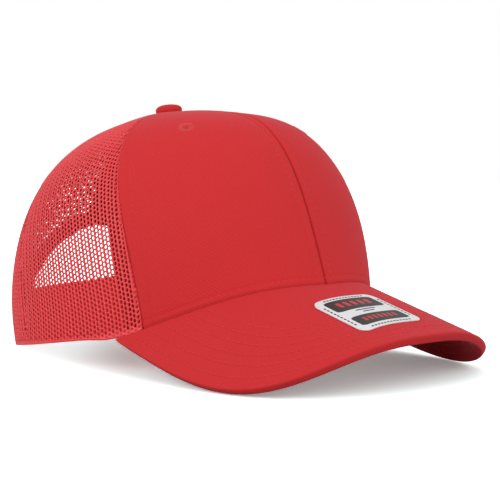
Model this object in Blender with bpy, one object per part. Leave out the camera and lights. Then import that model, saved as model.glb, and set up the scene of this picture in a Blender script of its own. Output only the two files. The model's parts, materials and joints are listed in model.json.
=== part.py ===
"""Trucker mesh cap, size 58 cm, resting on a flat surface on its visor tips and the back of its rim.

World frame: front of the cap toward -Y, wearer's left toward +X, +Z up, metres.
Shapes are worked out in the crown's own frame, in millimetres, as (forward, left, up from the
plane of the rim). The crown leans back by the resting pitch.
The crown is one smooth surface crown(around, rise). around is 0 at the front centre, +-1 at the
seams between front and side panels, +-2 at the seams between side and back panels and +-3 at the
back centre, positive on the wearer's left. rise runs from 0 at the rim to 1 at the top.
climb is the arc length up a meridian, negative below the edge.
Every cloth layer is an interval of depth below the surface.
"""

import math

import bpy
import numpy as np
from mathutils import Matrix, Vector

MM = 0.001
SIDES = (("right", -1), ("left", 1))

# ---------------------------------------------------------------- driving dimensions, millimetres
# Crown
RIM_FORWARD = (2.0, 98.3, 0.2, 2.2, 0.1, 0.5)  # cosine harmonics of the rim's forward coordinate
RIM_LEFT = (0.0, 88.7, -0.3, 0.8, 0.2, 0.4)    # sine harmonics of its sideways coordinate
SEAM_FRONT_ARC = 88.9          # rim arc from front centre to the front-side seam
SEAM_SIDE_ARC = 169.2          # rim arc from front centre to the side-back seam
CROWN_HEIGHT = 111.5           # rim plane to the top of the crown
APEX_FORWARD = -1.6            # forward coordinate of the top
ROUND_PLAN = (3.65, 2.70, 1.82, 2.78)  # how full each meridian is near the top, around = 0..3
ROUND_WALL = (1.78, 3.16, 3.47, 0.90)  # how upright each meridian's wall is, around = 0..3
BULGE = (-2.7, 1.6, -0.7, 6.0)         # outward belly low on the wall, around = 0..3
FRONT_DIP = -3.3               # the front centre line is a little lower near the top
SEAM_BOW = 0.164               # how far the seams bow rearward between rim and top
RIM_SAG = 2.24                 # scale of the sag in the side of the rim
EDGE_SOFTNESS = 1.5            # rounds the change from the visor's line to the level rim
APEX_HOLE = 3.0                # panels stop at this radius from the top

# Visor
VISOR_AROUND = 1.216           # the visor starts here on each side
VISOR_BLEND = 0.2              # the edge changes over this much of around at the visor's ends
ARCH_RISE = 16.5               # front centre of the rim above the rim plane
VISOR_SLOPE = 0.415            # the visor's fall per unit forward
CAMBER_POWER = 2.53            # the visor's sideways curve
VISOR_TIP = 162.5              # forward reach of the visor
VISOR_SPREAD = 88.4            # control of how broad the visor's front is
VISOR_RUN = 47.9               # control of how straight the visor's sides leave
VISOR_RUN_ANGLE = -2.4         # degrees, the direction the sides leave in
VISOR_T = 4.0                  # whole visor thickness
VISOR_SKIN = 0.9
VISOR_BOARD = 1.5
VISOR_CLEAR = 0.3              # gap between the crown's edge and the visor
VISOR_LIP = 2.6                # width of the thick border of each cover
LIP_STEP = 0.5                 # the border's thickness changes over this width
LIP_GAP = 0.25                 # half the gap between the covers at the border
BOARD_INSET = 3.2
BOARD_SETBACK = 1.2            # board to the visor's inner edge

# Layers, as depths of their outer and inner faces
PANEL = (0.0, 1.2)
BUCKRAM = (1.5, 2.2)
TAPE_FRONT = (2.9, 3.4)
TAPE_BACK = (1.9, 2.4)
FOAM = (3.9, 4.9)
LABEL = (4.1, 4.6)
BAND_FRONT = (5.4, 6.3)
BAND_BACK = (2.9, 3.8)
HOLE_STRAP = (3.0, 4.1)
PEG_STRAP = (4.7, 5.8)

SEAM_GAP = 0.22                # half the gap between two panels at a seam
TAPE_HALF = 10.0
TAPE_TOP_RADIUS = 5.0          # tapes stop at this radius from the top
LAYER_START = 1.0              # tapes and buckram start this far above the crown's edge
BAND_START = 0.5
BAND_HEIGHT = 27.6
BAND_PAST_FOOT = 9.0           # the sweatband stops this far before the back opening

# Back opening
ARCH_HALF = 54.6               # half width, measured sideways
ARCH_HEIGHT = 62.3
ARCH_POWER = 1.75
FOOT_RISE = 20.0               # its sides run straight up this far
BINDING_W = 8.0
BINDING_FOOT = 0.4             # climb at which the binding starts

# Snap closure
STRAP_LOW, STRAP_HIGH = 2.5, 20.5
STRAP_CORNER = 3.0             # corner radius of a free end
SNAP_PITCH = 9.5
SNAP_COUNT = 7
FIRST_HOLE = -20.5             # places along the rim, from the back centre toward the left
FIRST_PEG = 17.5
HOLE_STRAP_END = -28.0
PEG_STRAP_END = 25.0
HOLE_STRAP_OVERLAP = 3.0       # rooted ends reach this far past the foot of the opening
PEG_STRAP_OVERLAP = 4.0
HOLE_PIVOT_INSET = 2.6
PEG_TOP = 2.5                  # depth of the pegs' outer end
PEG_R = 1.5
HOLE_R = 3.1

# Button, rivet, eyelets and sticker
BUTTON_R = 6.9
BUTTON_H = 5.0
BUTTON_LIFT = 0.5              # underside of the button above the top of the crown
BUTTON_WALL = 1.2              # foot of the dome above the underside
BUTTON_BORE_R, BUTTON_BORE_TOP = 1.9, 3.0
RIVET_R = 6.5
RIVET_SHANK_R, RIVET_SHANK_TOP = 1.5, 2.6
RIVET_HEAD = (-4.0, -4.9)      # heights of the head's faces
EYELET_AROUND, EYELET_RISE = 0.536, 0.615
EYELET_R = 4.4
EYELET_HOLE = 1.6
EYELET_CUT_CLEAR = 0.35
EYELET_CUT_LENGTH = 12
STICKER_FORWARD, STICKER_LEFT = 133.7, -7.5
STICKER_W, STICKER_LEN = 37.0, 30.5
STICKER_CORNER = 1.5           # how far the corners are drawn in
STICKER = (-0.55, -0.3)        # depths of its faces, above the visor

# Mesh density
ROWS = 19                      # stations from rim to top
BUCKRAM_ROWS = 16              # stations of the same spacing, so the buckram stops lower
PANEL_COLUMNS = 8
BESIDE = 7                     # columns between the side seam and the foot of the opening
ARCH_STATIONS = 11
WALK_STEPS = 5

# ---------------------------------------------------------------- colours and finishes
RED = (0.62, 0.035, 0.035)
DARK_RED = (0.45, 0.02, 0.02)
BUCKRAM_CREAM = (0.8, 0.78, 0.74)
FOAM_WHITE = (0.85, 0.85, 0.83)
LABEL_WHITE = (0.9, 0.9, 0.88)
BOARD_BLACK = (0.02, 0.02, 0.02)
FOIL_SILVER = (0.75, 0.75, 0.76)
RIVET_SILVER = (0.7, 0.7, 0.72)
CUTTER_GREY = (0.5, 0.5, 0.5)

CLOTH = dict(roughness=0.85, metallic=0.0, sheen=0.3)
PLASTIC = dict(roughness=0.45, metallic=0.0, sheen=0.0)
BOARD = dict(roughness=0.5, metallic=0.0, sheen=0.0)
FOIL = dict(roughness=0.35, metallic=0.6, sheen=0.0)
METAL = dict(roughness=0.3, metallic=1.0, sheen=0.0)


# ---------------------------------------------------------------- small helpers
def ease(x):
    """Smooth step from 0 to 1."""
    x = np.clip(x, 0, 1)
    return x * x * (3 - 2 * x)


def unit(vectors):
    return vectors / np.linalg.norm(vectors, axis=-1, keepdims=True)


def path_length(points):
    """Running length along each polyline of points."""
    steps = np.linalg.norm(np.diff(points, axis=-2), axis=-1)
    return np.concatenate([np.zeros(steps.shape[:-1] + (1,)), np.cumsum(steps, -1)], -1)


# ---------------------------------------------------------------- the crown surface
def series(values):
    """Cosine coefficients of the even, periodic curve through values at around = 0, 1, 2, 3."""
    k = np.arange(4)
    return np.linalg.solve(np.cos(np.pi * np.outer(k, k) / 3), np.array(values, float))


def along(coefficients, around):
    return sum(c * np.cos(np.pi * i * around / 3) for i, c in enumerate(coefficients))


PLAN_SERIES, WALL_SERIES, BULGE_SERIES = series(ROUND_PLAN), series(ROUND_WALL), series(BULGE)


def rim_at(angle):
    fwd = sum(c * np.cos(k * angle) for k, c in enumerate(RIM_FORWARD))
    left = sum(c * np.sin(k * angle) for k, c in enumerate(RIM_LEFT))
    return fwd, left


RIM_ANGLES = np.linspace(0, np.pi, 2001)
RIM_ARC = path_length(np.stack(rim_at(RIM_ANGLES), -1))
HALF_RIM = float(RIM_ARC[-1])


def arc_of(around):
    """Rim arc length from the front centre: it passes through both seams and stays smooth."""
    even = HALF_RIM / 3
    sine = math.sin(math.pi / 3)
    front_shift = (SEAM_FRONT_ARC - even) / sine
    side_shift = (SEAM_SIDE_ARC - 2 * even) / sine
    return (
        even * around
        + (front_shift + side_shift) / 2 * np.sin(np.pi * around / 3)
        + (front_shift - side_shift) / 2 * np.sin(2 * np.pi * around / 3)
    )


def rim(around):
    angle = np.interp(arc_of(np.clip(np.abs(around), 0, 3)), RIM_ARC, RIM_ANGLES)
    fwd, left = rim_at(angle)
    return fwd, np.where(np.asarray(around) < 0, -left, left)


RIM_FRONT = float(rim(np.array(0.0))[0])
JOIN_FORWARD, JOIN_LEFT = (float(c) for c in rim(np.array(VISOR_AROUND)))
# The camber brings the visor's top face down to the rim plane where the visor starts.
CAMBER = (ARCH_RISE - VISOR_SLOPE * (JOIN_FORWARD - RIM_FRONT)) / JOIN_LEFT**CAMBER_POWER


def visor_z(fwd, left):
    """Height of the visor's top face."""
    return ARCH_RISE - VISOR_SLOPE * (fwd - RIM_FRONT) - CAMBER * np.abs(left) ** CAMBER_POWER


def rim_z(fwd, left, around):
    """Height of the crown's lower edge: it follows the visor, then hangs almost level."""
    z = visor_z(fwd, left)
    on_visor = ease((VISOR_AROUND + VISOR_BLEND - around) / VISOR_BLEND)
    lift = 0.5 * (z + np.sqrt(z * z + EDGE_SOFTNESS**2)) * on_visor
    x = np.clip((around - VISOR_AROUND) / (3 - VISOR_AROUND), 0, 1)
    return lift - RIM_SAG * x * np.sin(np.pi * x)


def crown(around, rise):
    """Points of the crown's outer face.

    A negative rise runs straight down from the edge, 100 mm per unit.
    """
    around, full_rise = np.broadcast_arrays(np.asarray(around, float), np.asarray(rise, float))
    rise = np.clip(full_rise, 0, 1)
    size = np.abs(around)
    bow = SEAM_BOW * 4 * rise * (1 - rise) * np.sin(np.pi * size / 3)
    size = np.clip(size + bow, 0, 3)
    fwd, left = rim(np.where(around < 0, -size, size))
    edge_z = rim_z(fwd, left, size)
    angle = rise * np.pi / 2
    radius = np.cos(angle) ** (2 / along(PLAN_SERIES, size))
    height = np.sin(angle) ** (2 / along(WALL_SERIES, size))
    # 6.75 scales the belly's shape to a peak of 1.
    belly = along(BULGE_SERIES, size) * height * (1 - height) ** 2 * 6.75
    swollen = radius + belly / np.maximum(np.hypot(fwd - APEX_FORWARD, left), 1)
    z = edge_z + (CROWN_HEIGHT - edge_z) * height
    # The dip is centred at 0.45 of the radius and fades out at the very top.
    dip = FRONT_DIP * np.exp(-0.8 * size**2) * np.exp(-(((radius - 0.45) / 0.28) ** 2))
    z = z + dip * (1 - np.exp(-((radius / 0.15) ** 2))) + np.minimum(full_rise, 0) * 100
    return np.stack([APEX_FORWARD + (fwd - APEX_FORWARD) * swollen, left * swollen, z], -1)


# Stations up a meridian, crowded toward both ends.
_even = np.linspace(0, 1, 260)
RISE_TABLE = _even**2.6 / (_even**2.6 + (1 - _even) ** 1.6)


def meridians(around):
    """Arc lengths and points of the meridians at a flat array of around."""
    points = crown(np.asarray(around, float)[:, None], RISE_TABLE[None])
    return path_length(points), points


def rise_of(around, climb):
    """The rise at a climb up the meridian."""
    shape = np.broadcast(around, climb).shape
    around = np.broadcast_to(around, shape).ravel()
    climb = np.broadcast_to(climb, shape).ravel()
    arcs = meridians(around)[0]
    rise = np.array([np.interp(c, arc, RISE_TABLE) for c, arc in zip(climb, arcs)])
    return np.where(climb < 0, climb / 100, rise).reshape(shape)


def surface(around, climb):
    return crown(around, rise_of(around, climb))


def across_step(around, climb):
    """Change of the surface point over a small step of around, and the size of the step."""
    step = 0.004
    return surface(around + step, climb) - surface(around - step, climb), 2 * step


def normal(around, climb):
    """Outward unit normal of the crown."""
    climb = np.maximum(climb, 2.5)
    across = across_step(around, climb)[0]
    upward = surface(around, climb + 1.0) - surface(around, climb - 1.0)
    return unit(np.cross(across, upward))


def at_depth(around, climb, depth):
    """A point of the crown, pushed inward by depth."""
    around, climb, depth = np.broadcast_arrays(
        np.asarray(around, float), np.asarray(climb, float), np.asarray(depth, float)
    )
    return surface(around, climb) - normal(around, climb) * depth[..., None]


def mm_per_around(around, climb):
    change, step = across_step(around, climb)
    return np.linalg.norm(change, axis=-1) / step


def climb_at_radius(around, radius):
    """Climb at which each meridian comes within a radius of the top."""
    arcs, points = meridians(np.ravel(around))
    distances = np.hypot(points[..., 0] - APEX_FORWARD, points[..., 1])
    climbs = []
    for away, arc in zip(distances, arcs):
        i = int(np.nonzero(away > radius)[0][-1])
        part = (away[i] - radius) / (away[i] - away[i + 1])
        climbs.append(arc[i] + (arc[i + 1] - arc[i]) * part)
    return np.array(climbs).reshape(np.shape(around))


def skirt(around):
    """How far the crown's edge hangs below the visor's top face, to cover its inner edge."""
    return (VISOR_T - 0.3) * ease((VISOR_AROUND - 0.02 - np.abs(around)) / VISOR_BLEND)


# ---------------------------------------------------------------- making closed meshes
parts = {}


def make_material(name, colour, roughness, metallic, sheen):
    made = bpy.data.materials.new(name)
    made.use_nodes = True
    shader = made.node_tree.nodes["Principled BSDF"]
    shader.inputs["Base Color"].default_value = (*colour, 1)
    shader.inputs["Roughness"].default_value = roughness
    shader.inputs["Metallic"].default_value = metallic
    shader.inputs["Sheen Weight"].default_value = sheen
    made.diffuse_color = (*colour, 1)
    return made


def to_metres(points):
    """(forward, left, up) in millimetres to the crown frame's (x, y, z) in metres."""
    points = np.asarray(points, float)
    return np.stack([points[..., 1], -points[..., 0], points[..., 2]], -1) * MM


def coordinates(obj):
    return np.array([vertex.co for vertex in obj.data.vertices])


def make_object(name, shape, colour, finish=CLOTH, sharp_angle=50):
    """One object from a shape, which is (points, faces), turned to face outward."""
    points, faces = shape
    mesh = bpy.data.meshes.new(name)
    vertices = [tuple(p) for p in to_metres(points)]
    mesh.from_pydata(vertices, [], [tuple(int(i) for i in face) for face in faces])
    mesh.validate()
    mesh.calc_loop_triangles()
    obj = bpy.data.objects.new(name, mesh)
    corners = coordinates(obj)
    triangles = np.array([t.vertices for t in mesh.loop_triangles])
    # A negative signed volume means the faces point inward.
    if np.linalg.det(corners[triangles] - corners.mean(0)).sum() < 0:
        mesh.flip_normals()
    mesh.shade_smooth()
    mesh.set_sharp_from_angle(angle=math.radians(sharp_angle))
    mesh.materials.append(make_material(name + "_material", colour, **finish))
    bpy.context.scene.collection.objects.link(obj)
    return obj


def add(name, *args, **kwargs):
    """Makes an object that is a piece of the cap."""
    parts[name] = make_object(name, *args, **kwargs)


def grid_faces(rows, columns):
    i, j = np.meshgrid(np.arange(rows - 1), np.arange(columns - 1), indexing="ij")
    first = (i * columns + j).ravel()
    return np.stack([first, first + 1, first + columns + 1, first + columns], 1)


def closed_sheet(outer, inner, faces):
    """A slab: the outer sheet, the inner one reversed, and a wall on each free edge."""
    outer, inner = outer.reshape(-1, 3), inner.reshape(-1, 3)
    count = len(outer)
    faces = [tuple(int(i) for i in face) for face in faces]
    # A dict keeps the edges in order.
    edges = dict.fromkeys(pair for face in faces for pair in zip(face, face[1:] + face[:1]))
    walls = [(b, a, a + count, b + count) for a, b in edges if (b, a) not in edges]
    all_faces = faces + [tuple(i + count for i in face[::-1]) for face in faces] + walls
    used = sorted({i for face in all_faces for i in face})
    renumber = {old: new for new, old in enumerate(used)}
    points = np.concatenate([outer, inner])[used]
    return points, [tuple(renumber[i] for i in face) for face in all_faces]


def add_layer(name, around, climb, depths, colour, faces=None):
    """A cloth layer over a grid of around and climb, between two depths."""
    faces = grid_faces(*around.shape) if faces is None else faces
    outer, inner = (at_depth(around, climb, depth) for depth in depths)
    add(name, closed_sheet(outer, inner, faces), colour)


def turned(profile, segments, origin, axis):
    """A solid of revolution. profile lists (radius, height); a zero radius is on the axis.

    A profile that starts off the axis closes on itself.
    """
    axis = unit(np.asarray(axis, float))
    side = unit(np.cross(axis, (0.3, 1, 0.1)))
    other = np.cross(axis, side)
    points, rings = [], []
    for radius, height in profile:
        centre = origin + axis * height
        if radius < 1e-9:
            rings.append([len(points)] * segments)
            points.append(centre)
            continue
        rings.append(list(range(len(points), len(points) + segments)))
        for k in range(segments):
            angle = 2 * math.pi * k / segments
            points.append(centre + (side * math.cos(angle) + other * math.sin(angle)) * radius)
    following = rings[1:]
    if profile[0][0] > 1e-9:
        following = following + rings[:1]
    faces = []
    for low, high in zip(rings, following):
        for k in range(segments):
            m = (k + 1) % segments
            # Repeats on the axis drop out.
            face = tuple(dict.fromkeys((low[k], low[m], high[m], high[k])))
            if len(face) > 2:
                faces.append(face)
    return np.array(points), faces


# ---------------------------------------------------------------- front and side panels
def panel_grid(start, end, fractions):
    """Grid for a panel between two seams, with a gap of even width along each seam."""
    columns = np.linspace(start, end, PANEL_COLUMNS)
    low, high = -skirt(columns), climb_at_radius(columns, APEX_HOLE)
    climb = low[None] + (high - low)[None] * fractions[:, None]
    sign = 1 if end > start else -1
    rows = len(fractions)
    first = start + sign * SEAM_GAP / mm_per_around(np.full(rows, start), climb[:, 0])
    last = end - sign * SEAM_GAP / mm_per_around(np.full(rows, end), climb[:, -1])
    part = np.linspace(0, 1, PANEL_COLUMNS)[None]
    return first[:, None] + (last - first)[:, None] * part, climb


def build_front_and_side_panels():
    fractions = np.linspace(0, 1, ROWS)
    for side, sign in SIDES:
        around, climb = panel_grid(0.0, sign * 1.0, fractions)
        add_layer("front_panel_" + side, around, climb, PANEL, RED)
        around, climb = panel_grid(0.0, sign * 1.0, fractions[:BUCKRAM_ROWS])
        climb = np.maximum(climb, LAYER_START - skirt(around))
        add_layer("front_buckram_" + side, around, climb, BUCKRAM, BUCKRAM_CREAM)
        around, climb = panel_grid(sign * 1.0, sign * 2.0, fractions)
        add_layer("side_mesh_" + side, around, climb, PANEL, RED)


# ---------------------------------------------------------------- back panels round the opening
def arch_level(points):
    """Below zero inside the back opening's arch, above zero outside it."""
    z = np.maximum(points[..., 2], 0)
    sideways = np.abs(points[..., 1])
    return (sideways / ARCH_HALF) ** ARCH_POWER + (z / ARCH_HEIGHT) ** ARCH_POWER - 1


def find_foot():
    """The meridian the opening's side runs up, and from which the arch springs."""
    around = np.linspace(2.3, 2.9, 301)
    level = arch_level(surface(around, np.full(301, FOOT_RISE)))
    return float(np.interp(0, -level, around))


def arch_climb(around):
    """Climb at the edge of the back opening."""
    arcs, points = meridians(around)
    climbs = []
    for arc, level in zip(arcs, arch_level(points)):
        high = arc >= FOOT_RISE
        climbs.append(max(FOOT_RISE, float(np.interp(0, level[high], arc[high]))))
    return np.array(climbs)


def even_arch_stations():
    """Values of around spaced evenly along the arch, from its foot to the back centre."""
    fine = FOOT_AROUND + (3 - FOOT_AROUND) * np.linspace(0, 1, 500) ** 2
    length = path_length(surface(fine, arch_climb(fine)))
    return np.interp(np.linspace(0, length[-1], ARCH_STATIONS), length, fine)


FOOT_AROUND = find_foot()
ARCH_AROUND = even_arch_stations()
ARCH_CLIMB = arch_climb(ARCH_AROUND)
FOOT_CLIMB = np.linspace(0, FOOT_RISE, 4)
FOOT_ARC = HALF_RIM - float(arc_of(FOOT_AROUND))   # rim distance from the back centre


def build_back_panels():
    columns = np.concatenate([np.linspace(2.0, FOOT_AROUND, BESIDE + 1)[:-1], ARCH_AROUND])
    low = np.concatenate([np.full(BESIDE, FOOT_RISE), ARCH_CLIMB])
    high = climb_at_radius(columns, APEX_HOLE)
    climb = low[None] + (high - low)[None] * np.linspace(0, 1, 11)[:, None]
    climb = np.concatenate([np.tile(FOOT_CLIMB[:-1, None], (1, len(columns))), climb])
    around = np.tile(columns, (len(climb), 1))
    side_gap = SEAM_GAP / mm_per_around(around[:, 0], climb[:, 0])
    centre_gap = SEAM_GAP / mm_per_around(around[:, -1] - 0.01, climb[:, -1])
    # The gaps fade out away from the seams, so the opening's sides meet the binding.
    near_side = np.clip(1 - (around - 2.0) / (FOOT_AROUND - 2.0), 0, 1)
    near_centre = np.clip((around - 2.8) / 0.2, 0, 1)
    around = around + side_gap[:, None] * near_side - centre_gap[:, None] * near_centre
    # Below the arch's foot only the columns beside the opening have faces.
    faces = grid_faces(*around.shape)
    row, column = np.divmod(faces[:, 0], around.shape[1])
    faces = faces[(row >= len(FOOT_CLIMB) - 1) | (column < BESIDE)]
    for side, sign in SIDES:
        add_layer("back_mesh_" + side, sign * around, climb, PANEL, RED, faces)


# ---------------------------------------------------------------- seam tapes
def add_tape(name, seam, rows, depths, start):
    """A strip of tape over a seam, narrowing where all the seams meet."""
    fractions = np.linspace(0, 1, rows)
    line = start + (float(climb_at_radius(seam, TAPE_TOP_RADIUS)) - start) * fractions
    scale = mm_per_around(np.full(rows, min(seam, 2.99)), line)
    reach = np.minimum(TAPE_HALF / scale, 0.43)
    around = seam + reach[:, None] * np.array([-1, -0.33, 0.33, 1.0])[None]
    # The strip crosses the back centre, where around folds back to -3.
    around = np.where(around > 3, around - 6, around)
    top = climb_at_radius(around, TAPE_TOP_RADIUS)
    add_layer(name, around, start + (top - start) * fractions[:, None], depths, DARK_RED)


def build_tapes():
    for name, seam, depths in (
        ("front_centre_tape", 0.0, TAPE_FRONT),
        ("front_seam_tape_left", 1.0, TAPE_FRONT),
        ("front_seam_tape_right", -1.0, TAPE_FRONT),
        ("side_seam_tape_left", 2.0, TAPE_BACK),
        ("side_seam_tape_right", -2.0, TAPE_BACK),
    ):
        add_tape(name, seam, 17, depths, start=float(LAYER_START - skirt(seam)))
    above_binding = float(ARCH_CLIMB[-1]) + BINDING_W + 1.5
    add_tape("back_centre_tape", 3.0, 12, TAPE_BACK, start=above_binding)


# ---------------------------------------------------------------- binding of the back opening
# Loop of (row, depth, overhang). Rows 0, 1, 2 lie on the opening's edge, half the binding's width
# away and its whole width away. Overhang reaches into the opening.
BINDING_SECTION = (
    (0, -0.95, 0.7), (1, -0.95, 0), (2, -0.95, 0),
    (2, -0.35, 0), (1, -0.35, 0), (0, -0.35, 0.3),
    (0, 1.6, 0.3), (1, 1.6, 0), (2, 1.6, 0),
    (2, 2.2, 0), (1, 2.2, 0), (0, 2.2, 0.75),
)
# Quads that close the section at an end of the binding.
BINDING_END = ((0, 1, 4, 5), (1, 2, 3, 4), (0, 5, 6, 11), (6, 7, 10, 11), (7, 8, 9, 10))


def walk(around, climb, direction, distance):
    """Moves (around, climb) over the crown along a direction in space, by a distance."""
    for _ in range(WALK_STEPS):
        change, step = across_step(around, climb)
        across = change / step
        upward = surface(around, climb + 1.0) - surface(around, np.maximum(climb - 1.0, 0.0))
        upward = upward / (1.0 + np.minimum(climb, 1.0))[..., None]
        # Least-squares solution for the two rates that follow the direction.
        across_sq = (across * across).sum(-1)
        mixed = (across * upward).sum(-1)
        upward_sq = (upward * upward).sum(-1)
        to_across = (across * direction).sum(-1)
        to_upward = (upward * direction).sum(-1)
        det = across_sq * upward_sq - mixed * mixed
        around_rate = (upward_sq * to_across - mixed * to_upward) / det
        climb_rate = (across_sq * to_upward - mixed * to_across) / det
        around = around + around_rate * distance / WALK_STEPS
        climb = np.maximum(climb + climb_rate * distance / WALK_STEPS, 0.0)
    return around, climb


def away_from_opening(around, climb):
    """Unit vectors along the crown, square to the opening's edge and away from its middle."""
    curve = surface(around, climb)
    tangent = np.gradient(curve, axis=0)
    tangent[-1] = (0, tangent[-1][1], 0)
    tangent[0] = curve[1] - curve[0]
    away = unit(np.cross(unit(tangent), normal(around, climb)))
    middle = np.array([curve[-1][0], 0, ARCH_HEIGHT * 0.3])
    away *= np.sign(((curve - middle) * away).sum(1))[:, None]
    # Level at the foot, and in the middle plane at the back centre.
    away[0] = away[0] * (1, 1, 0)
    away[-1] = away[-1] * (1, 0, 1)
    return unit(away)


def build_binding():
    around = np.concatenate([np.full(3, FOOT_AROUND), ARCH_AROUND])
    climb = np.concatenate([FOOT_CLIMB[:-1], ARCH_CLIMB])
    climb[0] = BINDING_FOOT
    away = away_from_opening(around, climb)
    rows = [walk(around, climb, away, distance) for distance in (0, BINDING_W / 2, BINDING_W)]
    for _, row_climb in rows:
        row_climb[0] = BINDING_FOOT
    bases = [(surface(*row), normal(np.minimum(row[0], 2.995), row[1])) for row in rows]
    loops = []
    for row, depth, overhang in BINDING_SECTION:
        point, outward = bases[row]
        loops.append(point - outward * depth - away * overhang)
    section = np.stack(loops, 1)
    section[-1, :, 1] = 0.0
    mirror = section[:-1][::-1].copy()
    mirror[..., 1] *= -1
    section = np.concatenate([section, mirror])
    stations, ring = section.shape[:2]
    faces = []
    for i in range(stations - 1):
        low, high = i * ring, (i + 1) * ring
        for j in range(ring):
            k = (j + 1) % ring
            faces.append((low + j, low + k, high + k, high + j))
    last = (stations - 1) * ring
    faces += [quad[::-1] for quad in BINDING_END]
    faces += [tuple(last + i for i in quad) for quad in BINDING_END]
    add("arch_binding", (section.reshape(-1, 3), faces), DARK_RED)


# ---------------------------------------------------------------- places along the rim at the back
AROUND_TABLE = np.linspace(1.2, 3, 3601)
BACK_ARC = HALF_RIM - arc_of(AROUND_TABLE)


def around_at(place):
    """around at a signed rim distance from the back centre, positive toward the left."""
    around = np.interp(-np.abs(place), -BACK_ARC, AROUND_TABLE)
    return np.where(np.asarray(place) < 0, -around, around)


# ---------------------------------------------------------------- sweatband, foam and label
def patch_grid(columns, start, height, rows):
    """Grid over columns of around, from a starting climb up by a height."""
    around = np.tile(columns, (rows, 1))
    return around, start + height * np.linspace(0, 1, rows)[:, None] + 0 * around


def build_band():
    end = float(around_at(FOOT_ARC + BAND_PAST_FOOT))
    columns = np.linspace(-end, end, 57)
    hang = skirt(columns)
    around, climb = patch_grid(columns, BAND_START - hang, BAND_HEIGHT + hang - BAND_START, 4)
    # The band lies deeper at the front, inside the buckram and foam.
    toward_back = ease((np.abs(around) - 1.15) / 0.45)
    depths = [front + (back - front) * toward_back for front, back in zip(BAND_FRONT, BAND_BACK)]
    add_layer("sweatband", around, climb, depths, RED)
    around, climb = patch_grid(np.linspace(-1.12, 1.12, 25), start=2.0, height=24.0, rows=3)
    add_layer("sweatband_foam", around, climb, FOAM, FOAM_WHITE)
    around, climb = patch_grid(np.linspace(2.06, 2.26, 3), start=4.0, height=30.0, rows=4)
    add_layer("care_label", around, climb, LABEL, LABEL_WHITE)


# ---------------------------------------------------------------- visor
def visor_outline(count):
    """Half outline of the visor, a Bezier curve from its start on the left side to the tip."""
    angle = math.radians(VISOR_RUN_ANGLE)
    start = np.array([JOIN_FORWARD, JOIN_LEFT])
    leaving = start + VISOR_RUN * np.array([math.cos(angle), math.sin(angle)])
    broad = np.array([VISOR_TIP, VISOR_SPREAD])
    tip = np.array([VISOR_TIP, 0])
    x = np.linspace(0, 1, count)[:, None]
    y = 1 - x
    return y**3 * start + 3 * y**2 * x * leaving + 3 * y * x**2 * broad + x**3 * tip


OUTLINE = visor_outline(400)
OUTLINE_LENGTH = path_length(OUTLINE)


def outer_edge(span):
    """Point of the visor's outline, span = 0 at the tip and +-1 where it meets the crown."""
    length = (1 - np.abs(span)) * OUTLINE_LENGTH[-1]
    fwd, left = (np.interp(length, OUTLINE_LENGTH, OUTLINE[:, i]) for i in (0, 1))
    return np.stack([fwd, np.where(span < 0, -left, left)], -1)


def inner_edge(span):
    """The visor's inner outline, a clearance outside the crown's edge."""
    around = span * VISOR_AROUND
    ahead, behind = (np.stack(rim(around + step), -1) for step in (0.01, -0.01))
    tangent = unit(ahead - behind)
    outward = np.stack([tangent[..., 1], -tangent[..., 0]], -1)
    return np.stack(rim(around), -1) + outward * VISOR_CLEAR


def visor_point(plan, fraction, depth):
    """A point below the visor's top face.

    Depth runs straight down at the crown (fraction 0) and square to the face from halfway out.
    """
    fwd, left = plan[..., 0], plan[..., 1]
    fall = CAMBER * CAMBER_POWER * np.abs(left) ** (CAMBER_POWER - 1) * np.sign(left)
    square = unit(np.stack([np.full_like(fwd, VISOR_SLOPE), fall, np.ones_like(fwd)], -1))
    weight = np.clip(fraction / 0.5, 0, 1)[..., None]
    direction = unit(square * weight + np.array([0, 0, 1.0]) * (1 - weight))
    return np.stack([fwd, left, visor_z(fwd, left)], -1) - direction * depth


def add_visor_sheet(name, span, row_fractions, top, bottom, colour, finish=CLOTH):
    """A sheet of the visor. top and bottom are depths, one for all rows or one for each."""
    inner, outer = inner_edge(span), outer_edge(span)
    fractions = np.stack(row_fractions(np.linalg.norm(outer - inner, axis=-1)))
    plan = inner + (outer - inner) * fractions[..., None]
    faces = [visor_point(plan, fractions, np.reshape(d, (-1, 1, 1))) for d in (top, bottom)]
    add(name, closed_sheet(*faces, grid_faces(*plan.shape[:2])), colour, finish)


QUARTERS = (0, 0.25, 0.5, 0.75, 1.0)


def cover_rows(length):
    """Five rows over the thin part of a cover, then two over its thick border."""
    thin_end = np.maximum(1 - VISOR_LIP / length, 0.3)
    lip_start = np.maximum(1 - (VISOR_LIP - LIP_STEP) / length, 0.5)
    return [thin_end * k for k in QUARTERS] + [lip_start, np.ones_like(length)]


def board_rows(length):
    start = BOARD_SETBACK / length
    return [start + (1 - BOARD_INSET / length - start) * k for k in QUARTERS]


def build_visor():
    even = np.linspace(-1, 1, 33)
    # The covers stop short of the visor's ends, and their columns crowd slightly near the ends.
    span = 0.952 * np.sign(even) * (1 - (1 - np.abs(even)) ** 1.15)
    middle = VISOR_T / 2
    under_top = [VISOR_SKIN] * 5 + [middle - LIP_GAP] * 2
    over_bottom = [VISOR_T - VISOR_SKIN] * 5 + [middle + LIP_GAP] * 2
    add_visor_sheet("visor_top_cover", span, cover_rows, 0.0, under_top, RED)
    add_visor_sheet("visor_bottom_cover", span, cover_rows, over_bottom, VISOR_T, RED)
    add_visor_sheet(
        "visor_board", np.linspace(-0.82, 0.82, 29), board_rows,
        middle - VISOR_BOARD / 2, middle + VISOR_BOARD / 2, BOARD_BLACK, BOARD,
    )


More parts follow.
